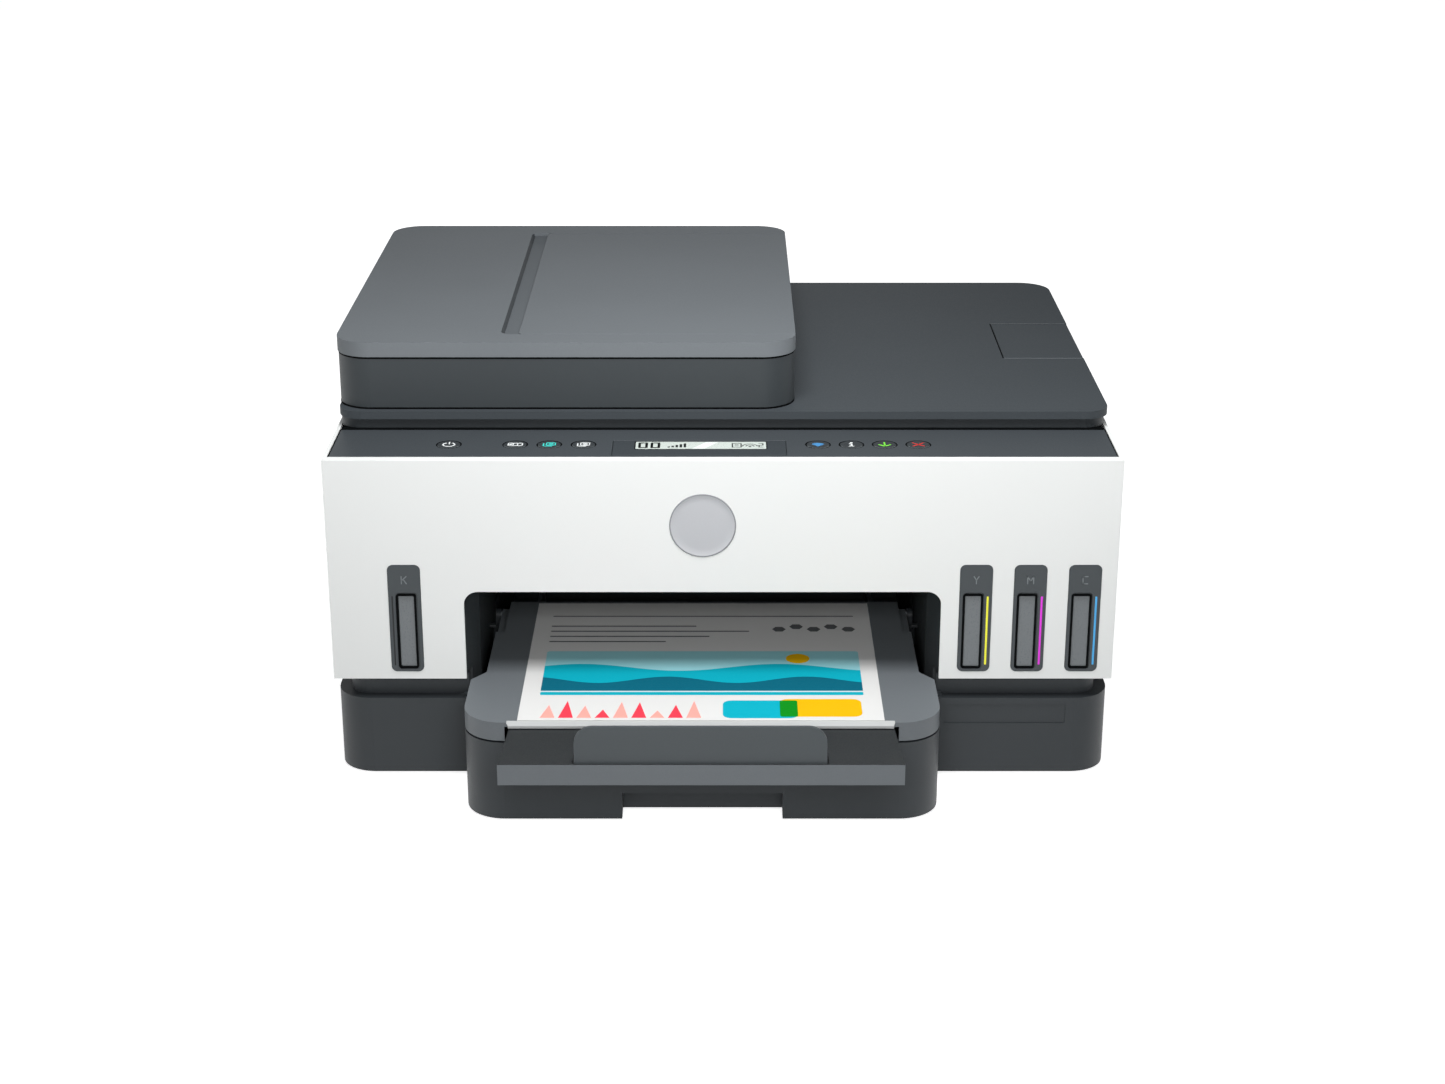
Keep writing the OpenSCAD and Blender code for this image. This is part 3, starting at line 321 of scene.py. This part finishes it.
def faults(me, tree, reach):
    """Faces that left the surface they came from, or turned over."""
    n = 0
    me.calc_loop_triangles()
    for t in me.loop_triangles:
        if t.area < 4e-8:
            continue
        a, b, c = (me.vertices[i].co for i in t.vertices)
        for q in ((a + b + c) / 3, a * 0.6 + b * 0.3 + c * 0.1):
            hit = tree.find_nearest(q)
            if hit[0] is None or (hit[0] - q).length > reach * 0.8 + 2e-5:
                n += 1
            elif (hit[0] - q).length < 1e-6 and hit[1].dot(t.normal) < 0.0:
                near = tree.find_nearest_range(q, 2e-5)
                if not any(h[1].dot(t.normal) > 0.3 for h in near):
                    n += 1
    return n


def refine(node, mat, width=0.35, segments=2, rules=(), zones=(), sharp=28, dissolve=True):
    """A copy of a CAD node's own mesh, welded, with its hard edges broken by a small radius.
    rules give single edges another radius, zones give faces another material."""
    src = frame["nodes"][node]
    name = node + "_skin"
    me = src.data.copy()
    me.name = name
    o = link(bpy.data.objects.new(name, me))
    bm = bmesh.new()
    bm.from_mesh(me)
    bmesh.ops.remove_doubles(bm, verts=bm.verts, dist=3e-6)
    if dissolve:
        bmesh.ops.dissolve_limit(bm, angle_limit=math.radians(0.6), verts=bm.verts, edges=bm.edges)
    bmesh.ops.recalc_face_normals(bm, faces=bm.faces)
    lay = bm.edges.layers.float.get("bevel_weight_edge") or bm.edges.layers.float.new("bevel_weight_edge")
    lim = math.radians(sharp)
    hard = set()
    for e in bm.edges:
        if len(e.link_faces) == 2 and e.calc_face_angle(0) > lim:
            hard.add(e)
        e.smooth = True
    top = max([width] + [r[1] for r in rules])
    for e in hard:
        w = width
        mid = to_mm((e.verts[0].co + e.verts[1].co) / 2)
        d = (e.verts[1].co - e.verts[0].co).normalized()
        for test, rw in rules:
            if test(mid, d, e):
                w = rw
        room = 1e9
        for v in e.verts:
            for k in v.link_edges:
                if k is not e and k not in hard:
                    room = min(room, k.calc_length() * 1000)
                elif k is not e:
                    dk = (k.other_vert(v).co - v.co).normalized()
                    if abs(dk.dot(d)) < 0.8:
                        room = min(room, k.calc_length() * 1000)
        w = min(w, room * 0.42)
        e[lay] = max(0.0, w / top) if w > 0.03 else 0.0
        if w <= 0.03:
            e.smooth = False
    for f in bm.faces:
        f.smooth = True
        f.material_index = 0
        if zones:
            c, n = to_mm(f.calc_center_median()), f.normal
            for i, (test, zm) in enumerate(zones):
                if test(c, n):
                    f.material_index = i + 1
    me.materials.clear()
    me.materials.append(mat)
    for test, zm in zones:
        me.materials.append(zm)
    flat = bm.copy()
    bmesh.ops.triangulate(flat, faces=flat.faces)
    tree = BVHTree.FromBMesh(flat)
    flat.free()
    bm.to_mesh(me)
    bm.free()
    mod = o.modifiers.new("edge_radius", "BEVEL")
    mod.segments = segments
    mod.limit_method = "WEIGHT"
    mod.use_clamp_overlap = False
    mod.miter_outer = "MITER_ARC" if segments > 2 else "MITER_SHARP"
    for scale in (1.0, 0.7, 0.45, 0.25, 0.0):
        mod.width = top * scale / 1000
        mod.show_viewport = mod.show_render = scale > 0
        baked = bake(o)
        bad = faults(baked, tree, top * scale / 1000)
        if not bad or scale == 0:
            break
        bpy.data.meshes.remove(baked)
    if scale < 1:
        print("edge radius of", node, "scaled by", scale)
    o.modifiers.clear()
    o.data = baked
    baked.name = name
    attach(o, src["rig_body"])
    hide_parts(node)
    return o


def keep(node, mat):
    o = frame["nodes"][node]
    o.data.materials.clear()
    o.data.materials.append(mat)
    return o


fine_parts = {
    "rear_cover": ("dark", 0.4), "mid_frame": ("inner", 0.3), "side_frames": ("inner", 0.3), "output_bay": ("inner", 0.3),
    "guide_rail": ("steel", 0.2), "platen": ("black", 0.2), "service_station": ("black", 0.3), "carriage": ("black", 0.3),
    "print_heads": ("head", 0.25), "rear_door": ("dark", 0.35), "width_guide_left": ("panel", 0.25), "width_guide_right": ("panel", 0.25),
    "length_guide": ("panel", 0.25), "scan_bar": ("black", 0.3), "power_inlet": ("black", 0.25), "lid_pad": ("foam", 0.5),
    "ink_tank_black": ("window", 0.3), "ink_tanks_color": ("window", 0.3), "tank_cap_black": ("capk", 0.3), "tank_cap_yellow": ("capy", 0.3),
    "tank_cap_magenta": ("capm", 0.3), "tank_cap_cyan": ("capc", 0.3), "power_supply": ("black", 0.3), "rubber_feet": ("rubber", 0.3),
    "main_board": ("board", 0.1),
}
plain = {
    "carriage_belt": "rubber", "carriage_motor": "motor", "feed_motor": "motor", "case_screws": "screw",
    "feed_roller": "roller", "exit_roller": "roller", "pickup_roller": "roller", "exit_idler_gear": "gear", "pickup_idler_gear": "gear",
    "scanner_glass": "glass", "adf_rollers": "roller",
}
for n, m in plain.items():
    keep(n, M[m])
for n, (m, w) in fine_parts.items():
    refine(n, M[m], w, 2)
keep("printed_sheet", M["paper"])

X0, X1 = -224.75, 224.75
refine("base_tub", M["dark"], 0.5, 3, rules=[(lambda p, d, e: p[2] > 46.5 and p[1] < 20 and abs(d.z) < 0.1, 0.8)])
refine("front_side_panel", M["white"], 0.5, 3, rules=[(lambda p, d, e: p[2] > 192.3 and (p[1] < 0.3 or abs(p[0]) > 224.6), 1.1)])
refine("control_panel", M["panel"], 0.3, 2)
refine("gauge_bezels", M["bezel"], 0.35, 2)
refine("lcd_module", M["display"], 0.3, 2)
refine("input_tray", M["cass"], 0.5, 3, rules=[(lambda p, d, e: p[2] < 1 and p[1] < -2, 1.5)])
refine("output_tray", M["grey2"], 0.6, 3, rules=[(lambda p, d, e: p[2] > 59.7 and p[1] < -3 and abs(d.z) < 0.1, 1.2)])
# painted shade: the extender's top and the faces behind its front wall take a darker copy of its grey
refine("output_extender", M["grey2"], 0.4, 2, zones=[(lambda c, n: n.z > 0.7 or c[1] > -107.5, M["extop"])])
refine("paper_stop", M["stop"], 0.5, 3)
refine("scanner_tub", M["tub"], 0.6, 3)
refine("scanner_lid", M["lid"], 0.7, 4, rules=[(lambda p, d, e: p[2] > 203.4 and p[1] < 60, 1.3)])
refine("adf_body", M["adf"], 0.5, 3)
refine("adf_top_cover", M["grey"], 0.3, 4, rules=[(lambda p, d, e: p[2] > 243.6 and (p[1] < 77 or p[1] > 334 or p[0] < -200), 2.2)],
       # painted light: the cover's outward sides take a lighter copy of its grey
       zones=[(lambda c, n: abs(n.z) < 0.3 and (c[0] + 91) * n.x + (c[1] - 207) * n.y > 20, M["grey_side"]),
              # painted shade: the recess floor takes a darker copy of the grey
              (lambda c, n: -131 < c[0] < -117 and 75 < c[1] < 335 and 241.5 < c[2] < 242.6 and n.z > 0.7, M["grey_low"]),
              # painted shade: the recess's left wall takes a dark grey
              (lambda c, n: n.x > 0.6 and -131 < c[0] < -128 and 75 < c[1] < 335 and c[2] > 241.5, M["wall"])])
refine("adf_tray_cover", M["grey"], 0.4, 3)
refine("output_flap", M["lid"], 0.3, 2)
BTN_X = {"power": -156.1, "id_copy": -118.3, "color_copy": -98.9, "black_copy": -79.4, "wireless": 54.2, "info": 73.3, "resume": 92.2, "cancel": 111.4}
for b in BTN_X:
    refine(b + "_button", M["button"], 0.3, 2)

# ------------------------------------------------------------ small pieces


def ring(cx, cy, r0, r1, a0=0.0, a1=360.0, n=48):
    """Outlines of a ring or an arc, with round-free ends."""
    if a1 - a0 >= 359.9:
        return ring(cx, cy, r0, r1, a0, a0 + 180, n // 2) + ring(cx, cy, r0, r1, a0 + 180, a0 + 359.8, n // 2)
    t = [math.radians(a0 + (a1 - a0) * i / n) for i in range(n + 1)]
    return [[(cx + r1 * math.cos(a), cy + r1 * math.sin(a)) for a in t] + [(cx + r0 * math.cos(a), cy + r0 * math.sin(a)) for a in reversed(t)]]


def disc(cx, cy, r, n=40):
    return [[(cx + r * math.cos(2 * math.pi * i / n), cy + r * math.sin(2 * math.pi * i / n)) for i in range(n)]]


def rrect(x0, y0, x1, y1, r=0.3, n=5):
    out = []
    for cx, cy, a in ((x1 - r, y1 - r, 0), (x0 + r, y1 - r, 90), (x0 + r, y0 + r, 180), (x1 - r, y0 + r, 270)):
        out += [(cx + r * math.cos(math.radians(a + 90 * i / n)), cy + r * math.sin(math.radians(a + 90 * i / n))) for i in range(n + 1)]
    return [out]


def stroke(x0, y0, x1, y1, w, n=6):
    """A bar with round ends from one point to another."""
    a = math.atan2(y1 - y0, x1 - x0)
    out = [(x1 + w / 2 * math.cos(a + t), y1 + w / 2 * math.sin(a + t)) for t in [math.pi * (i / n - 0.5) for i in range(n + 1)]]
    out += [(x0 + w / 2 * math.cos(a + t), y0 + w / 2 * math.sin(a + t)) for t in [math.pi * (i / n + 0.5) for i in range(n + 1)]]
    return [out]


def frame_line(x0, y0, x1, y1, w):
    return stroke(x0, y0, x1, y0, w) + stroke(x1, y0, x1, y1, w) + stroke(x1, y1, x0, y1, w) + stroke(x0, y1, x0, y0, w)


def prism(name, loops, lo, hi, mat, body, plane="z", edge=0.0):
    """Closed outlines drawn out between two levels, in machine millimetres."""
    bm = bmesh.new()
    for loop in loops:
        put = (lambda u, v, h: mm(u, v, h)) if plane == "z" else (lambda u, v, h: mm(u, h, v))
        va = [bm.verts.new(put(u, v, lo)) for u, v in loop]
        vb = [bm.verts.new(put(u, v, hi)) for u, v in loop]
        bm.faces.new(va[::-1])
        bm.faces.new(vb)
        for i in range(len(loop)):
            j = (i + 1) % len(loop)
            bm.faces.new([va[i], va[j], vb[j], vb[i]])
    bmesh.ops.recalc_face_normals(bm, faces=bm.faces)
    me = bpy.data.meshes.new(name)
    bm.to_mesh(me)
    bm.free()
    o = link(bpy.data.objects.new(name, me))
    me.materials.append(mat)
    if edge:
        mod = o.modifiers.new("edge_radius", "BEVEL")
        mod.width = edge / 1000
        mod.segments = 2
        mod.limit_method = "ANGLE"
        mod.angle_limit = math.radians(50)
        wn = o.modifiers.new("face_weights", "WEIGHTED_NORMAL")
        wn.keep_sharp = True
        for f in me.polygons:
            f.use_smooth = True
    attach(o, body)
    return o


def solid(name, verts, faces, mat, body, edge=0.0, smooth=False):
    bm = bmesh.new()
    vs = [bm.verts.new(mm(*v)) for v in verts]
    for f in faces:
        bm.faces.new([vs[i] for i in f])
    bmesh.ops.recalc_face_normals(bm, faces=bm.faces)
    me = bpy.data.meshes.new(name)
    bm.to_mesh(me)
    bm.free()
    o = link(bpy.data.objects.new(name, me))
    me.materials.append(mat)
    for f in me.polygons:
        f.use_smooth = smooth or bool(edge)
    if edge:
        mod = o.modifiers.new("edge_radius", "BEVEL")
        mod.width = edge / 1000
        mod.segments = 2
        mod.limit_method = "ANGLE"
        mod.angle_limit = math.radians(20)
        wn = o.modifiers.new("face_weights", "WEIGHTED_NORMAL")
        wn.keep_sharp = True
    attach(o, body)
    return o


# signs on the button caps; each cap is dished, so a sign lies just over its rim's level
YB = 28.0
TOP0, TOP1 = 192.30, 192.47


def sign(button, loops, mat):
    x = BTN_X[button]
    moved = [[(x + u, YB + v) for u, v in l] for l in loops]
    return prism(button + "_sign", moved, TOP0, TOP1, mat, button + "_button", edge=0.02)


sign("power", ring(0, -0.3, 2.9, 3.7, 118, 422) + stroke(0, 0.9, 0, 4.2, 0.8), M["glow_white"])
sign("id_copy", frame_line(-4.0, -2.3, 4.0, 2.3, 0.75) + stroke(-1.2, -2.3, -1.2, 2.3, 0.6) + stroke(1.4, -2.3, 1.4, 2.3, 0.6) + disc(-2.6, 0, 0.8, 16), M["glow_white"])
for b, m in (("color_copy", "glow_teal"), ("black_copy", "glow_white")):
    sign(b, frame_line(-1.6, -1.7, 3.4, 3.1, 0.7) + stroke(-3.3, 1.6, -3.3, -3.2, 0.8) + stroke(-3.3, -3.2, 1.4, -3.2, 0.8)
         + stroke(-0.2, 1.5, 2.0, 1.5, 0.6) + stroke(-0.2, 0.1, 2.0, 0.1, 0.6), M[m])
fan = [(0.0, -3.4)] + [(4.6 * math.cos(math.radians(a)), -2.3 + 4.9 * math.sin(math.radians(a))) for a in range(38, 143, 8)]
sign("wireless", [fan], M["glow_blue"])
sign("info", disc(0, 3.0, 0.85, 20) + stroke(0, 1.1, 0, -2.9, 1.15) + stroke(-1.1, 1.1, 0, 1.1, 0.7) + stroke(-1.3, -3.1, 1.3, -3.1, 0.7), M["glow_white"])
sign("resume", stroke(0, 3.6, 0, -2.9, 1.0) + stroke(-3.2, -0.3, 0, -3.2, 1.0) + stroke(3.2, -0.3, 0, -3.2, 1.0), M["glow_green"])
sign("cancel", stroke(-3.2, -3.0, 3.2, 3.0, 0.75) + stroke(-3.2, 3.0, 3.2, -3.0, 0.75), M["glow_red"])
loops = []
for x in BTN_X.values():
    loops += ring(x, YB, 6.8, 7.35)
prism("button_rings", loops, 192.2, 192.33, M["outline"], "chassis")
loops = []
for x in BTN_X.values():
    loops += ring(x, YB, 6.3, 6.75, 200, 340)
prism("button_glints", loops, 192.2, 192.31, M["ring_pale"], "chassis")

# display: pale face, a slanting band of light, segments
prism("display_face", rrect(-49.6, 20.4, 24.6, 33.2, 0.6), 192.1, 192.28, M["lcd"], "chassis", edge=0.03)
prism("display_frame", rrect(-50.4, 19.6, 25.4, 34.0, 1.0), 192.0, 192.262, M["ring_dark"], "chassis", edge=0.03)
prism("display_shine", [[(-17.5, 20.8), (-10.5, 20.8), (-2.5, 32.8), (-9.5, 32.8)]], 192.1, 192.285, M["lcd_hi"], "chassis")


def digit(x, y, w, h, t, on="abcdef"):
    seg = {"a": (x, y + h, x + w, y + h), "b": (x + w, y + h, x + w, y + h / 2), "c": (x + w, y + h / 2, x + w, y), "d": (x + w, y, x, y),
           "e": (x, y, x, y + h / 2), "f": (x, y + h / 2, x, y + h), "g": (x, y + h / 2, x + w, y + h / 2)}
    out = []
    for k in on:
        out += stroke(*seg[k], t)
    return out


loops = digit(-47.4, 22.6, 4.0, 8.4, 1.5) + digit(-40.4, 22.6, 4.0, 8.4, 1.5)
for i in range(5):
    loops += rrect(-31.5 + i * 2.3, 23.0, -30.1 + i * 2.3, 24.6 + i * 1.4, 0.2)
loops += frame_line(5.4, 23.4, 10.4, 30.2, 0.7) + stroke(7.0, 26.0, 8.8, 26.0, 0.6) + stroke(7.0, 28.2, 8.8, 28.2, 0.6)
loops += ring(15.4, 25.0, 1.9, 2.6, 0, 180) + ring(15.4, 25.0, 3.9, 4.6, 0, 180) + disc(15.4, 24.4, 0.9, 16)
loops += digit(20.6, 23.6, 2.2, 6.4, 0.7, "abged")
prism("display_segments", loops, 192.1, 192.292, M["lcd_ink"], "chassis")

# gauge letters and colour stripes
BEZ = {"k": -191.0, "y": 135.1, "m": 166.0, "c": 197.1}


def letter(k, cx, cz, h=4.4, w=2.8, t=0.62):
    x0, x1, z0, z1, zm = cx - w / 2, cx + w / 2, cz - h / 2, cz + h / 2, cz
    if k == "k":
        return stroke(x0, z0, x0, z1, t) + stroke(x0, zm - 0.4, x1, z1, t) + stroke(x0 + 1.2, zm + 0.4, x1, z0, t)
    if k == "y":
        return stroke(x0, z1, cx, zm, t) + stroke(x1, z1, cx, zm, t) + stroke(cx, zm, cx, z0, t)
    if k == "m":
        return stroke(x0 - 0.3, z0, x0 - 0.3, z1, t) + stroke(x0 - 0.3, z1, cx, zm - 0.6, t) + stroke(cx, zm - 0.6, x1 + 0.3, z1, t) + stroke(x1 + 0.3, z1, x1 + 0.3, z0, t)
    return stroke(x1, z1, x0 + 0.6, z1, t) + stroke(x0 + 0.6, z1, x0, z1 - 0.6, t) + stroke(x0, z1 - 0.6, x0, z0 + 0.6, t) + stroke(x0, z0 + 0.6, x0 + 0.6, z0, t) + stroke(x0 + 0.6, z0, x1, z0, t)


def band(x0, y0, x1, y1, r, t, n=10):
    """Outlines of a narrow frame round a rounded rectangle, in two halves."""
    a, b = rrect(x0, y0, x1, y1, r, n)[0], rrect(x0 + t, y0 + t, x1 - t, y1 - t, r - t, n)[0]
    h = len(a) // 2
    return [a[:h + 1] + b[:h + 1][::-1], a[h:] + a[:1] + b[:1] + b[h:][::-1]]


for k, x in BEZ.items():
    off = 4.2 if k == "k" else 2.05
    prism("gauge_letter_" + k, letter(k, x + 9.3, 120.4), -0.34, -0.2, M["mark"], "chassis", plane="y")
    prism("gauge_outline_" + k, band(x + off, 65.65, x + off + 11.5, 111.7, 1.7, 1.15), -0.24, 0.75, M["outline"], "chassis", plane="y", edge=0.05)
    if k != "k":
        prism("gauge_stripe_" + k, rrect(x + 15.55, 68.2, x + 16.7, 110.4, 0.3), -0.36, 0.2, M["stripe_" + k], "chassis", plane="y", edge=0.05)
prism("gauge_slot_k", rrect(-191 + 1.75, 67.6, -191 + 2.6, 110.6, 0.4), -0.34, 0.2, M["ring_dark"], "chassis", plane="y", edge=0.05)

# plain round badge: a low dome with a narrow rim
verts, faces = [], []
NB = 96
prof = [(18.9, 0.05), (18.9, -0.28), (18.55, -0.42), (18.3, -0.42), (18.15, -0.34), (14.0, -0.42), (9.0, -0.48), (4.0, -0.51), (0.0, -0.52)]
for r, y in prof[:-1]:
    for i in range(NB):
        a = 2 * math.pi * i / NB
        verts.append((-11.4 + r * math.cos(a), y, 153.4 + r * math.sin(a)))
verts.append((-11.4, prof[-1][1], 153.4))
for k in range(len(prof) - 2):
    for i in range(NB):
        faces.append((k * NB + i, k * NB + (i + 1) % NB, (k + 1) * NB + (i + 1) % NB, (k + 1) * NB + i))
for i in range(NB):
    faces.append(((len(prof) - 2) * NB + i, (len(prof) - 2) * NB + (i + 1) % NB, len(verts) - 1))
faces.append(tuple(range(NB)))
badge = solid("front_badge", verts, faces, M["badge"], "chassis", smooth=True)
badge.data.materials.append(M["badge_rim"])
for f in badge.data.polygons:
    r = math.hypot(to_mm(f.center)[0] + 11.4, to_mm(f.center)[2] - 153.4)
    f.material_index = 1 if 18.2 < r and len(f.vertices) == 4 else 0

# painted shadow: a black strip standing for the shade in the gap between the control panel and the scanner
prism("scanner_gap_shadow", rrect(-221.2, 55.6, 221.2, 59.6, 0.5), 190.5, 193.05, M["outline"], "chassis", edge=0.1)


# painted shadow: near-black bands standing for the shade in the feeder's gaps, under its cover and at its foot
prism("feeder_cover_gap_shadow", band(-224.4, 59.9, 42.0, 354.7, 20.1, 1.6), 233.65, 234.86, M["seam"], "lid")
prism("feeder_foot_shadow", band(-224.5, 59.8, 42.1, 354.8, 20.2, 0.7), 203.52, 204.55, M["seam"], "lid")

# painted shadow: thin black strips standing for the shade in the gaps at the ends of the control panel and at the
# folding stop's left edge in the lid; pale strips along the folding stop's front and back edges are painted highlights
prism("panel_gap_left", rrect(-222.15, 4.5, -221.5, 57.0, 0.2), 191.6, 192.3, M["outline"], "chassis")
prism("panel_gap_right", rrect(221.5, 4.5, 222.15, 57.0, 0.2), 191.6, 192.3, M["outline"], "chassis")
prism("flap_gap", rrect(174.05, 166.4, 174.7, 246.8, 0.15), 203.3, 203.54, M["outline"], "lid")
prism("flap_rim_highlights", rrect(174.7, 165.85, 223.2, 166.4, 0.2) + rrect(174.7, 246.8, 223.2, 247.3, 0.2), 203.3, 203.54, M["edge_painted_highlight"], "lid")

# pale lip over the extender's mouth, with mitred ends; its pale grey stands for the light its chamfered edge catches: a
# painted highlight
PX = -11.65
prof = [(-59.74, 60.03, 108.6, 107.2), (-62.3, 59.41, 108.5, 107.1), (-64.4, 58.9, 107.4, 106.4), (-64.4, 57.25, 107.4, 106.4), (-60.2, 57.25, 107.4, 106.4)]
verts = [(PX - w, y, z) for y, z, w, _ in prof] + [(PX + w, y, z) for y, z, _, w in prof]
n = len(prof)
faces = [tuple(range(n)), tuple(range(2 * n - 1, n - 1, -1))] + [(i, (i + 1) % n, n + (i + 1) % n, n + i) for i in range(n)]
solid("output_lip", verts, faces, M["lip"], "output_tray", edge=0.15)

# ------------------------------------------------------------ print on the sheet: a plain pattern
S0 = 60.19


def ink(name, loops, layer, colour):
    return prism("sheet_" + name, loops, S0, 60.2 + 0.012 * layer, M["ink_" + colour], "output_tray")


XL, XR = -104.0, 80.0
ink("panel", rrect(XL, -20.0, XR, 38.0, 2.0), 1, "teal_pale")
ink("panel_foot", rrect(XL, -25.5, XR, -21.2, 1.0), 1, "teal")


def hill(y0, amp, waves, phase, top):
    pts = [(XL + (XR - XL) * i / 60, y0 + amp * math.sin(phase + waves * math.pi * i / 60)) for i in range(61)]
    return [pts + [(XR, -19.5), (XL, -19.5)]]


ink("hill_far", hill(14, 5.0, 3.2, 0.4, 0), 2, "teal")
ink("hill_near", hill(-4, 4.5, 4.6, 2.2, 0), 3, "teal_dark")
ink("sun", disc(44, 27, 7.0, 40), 2, "yellow")
tri_p, tri_r = [], []
for i in range(9):
    x = XL + 2 + i * 10.2
    h = 7 + 16 * abs(math.sin(0.7 + i * 0.9))
    (tri_r if i % 2 else tri_p).append([(x, -56.5), (x + 8.4, -56.5), (x + 4.2, -56.5 + h)])
ink("peaks_a", tri_p, 1, "pink")
ink("peaks_b", tri_r, 1, "red")
ink("tile_a", rrect(0, -57.0, 42, -33.0, 5.0), 1, "teal")
ink("tile_b", rrect(32, -55.0, 78, -31.0, 5.0), 2, "yellow")
ink("tile_c", rrect(32, -55.0, 42, -33.0, 1.5), 3, "green")
rules = []
for i, w in enumerate([70, 96, 120, 88]):
    rules += rrect(XL, 52 + i * 8.0, XL + w, 53.6 + i * 8.0, 0.6)
rules += rrect(XL, 92, XR, 93.4, 0.5)
ink("rules", rules, 1, "greyink")
hexes = []
for i in range(5):
    cx, cy = 34 + i * 10.5, 72 + (i % 2) * 4
    hexes.append([(cx + 4.2 * math.cos(math.radians(60 * k)), cy + 4.2 * math.sin(math.radians(60 * k))) for k in range(6)])
ink("hexes", hexes, 1, "greyink")

# ------------------------------------------------------------ floor
fm, nt, b = base_material("floor_paint")
tex = nt.nodes.new("ShaderNodeTexCoord")
n = nt.nodes.new("ShaderNodeTexNoise")
n.inputs["Scale"].default_value = 3.0
nt.links.new(tex.outputs["Object"], n.inputs["Vector"])
ramp = nt.nodes.new("ShaderNodeValToRGB")
ramp.color_ramp.elements[0].color = (0.90, 0.90, 0.90, 1)
ramp.color_ramp.elements[1].color = (0.92, 0.92, 0.92, 1)
nt.links.new(n.outputs["Fac"], ramp.inputs["Fac"])
nt.links.new(ramp.outputs["Color"], b.inputs["Base Color"])
b.inputs["Roughness"].default_value = 0.95
b.inputs["Specular IOR Level"].default_value = 0.0
b.inputs["Emission Color"].default_value = (1, 1, 1, 1)
b.inputs["Emission Strength"].default_value = 0.8
bm = bmesh.new()
bmesh.ops.create_grid(bm, x_segments=2, y_segments=2, size=12)
me = bpy.data.meshes.new("floor")
bm.to_mesh(me)
bm.free()
floor = link(bpy.data.objects.new("floor", me))
floor.data.materials.append(fm)
floor.location = (0, 0, 0)
floor.visible_diffuse = False
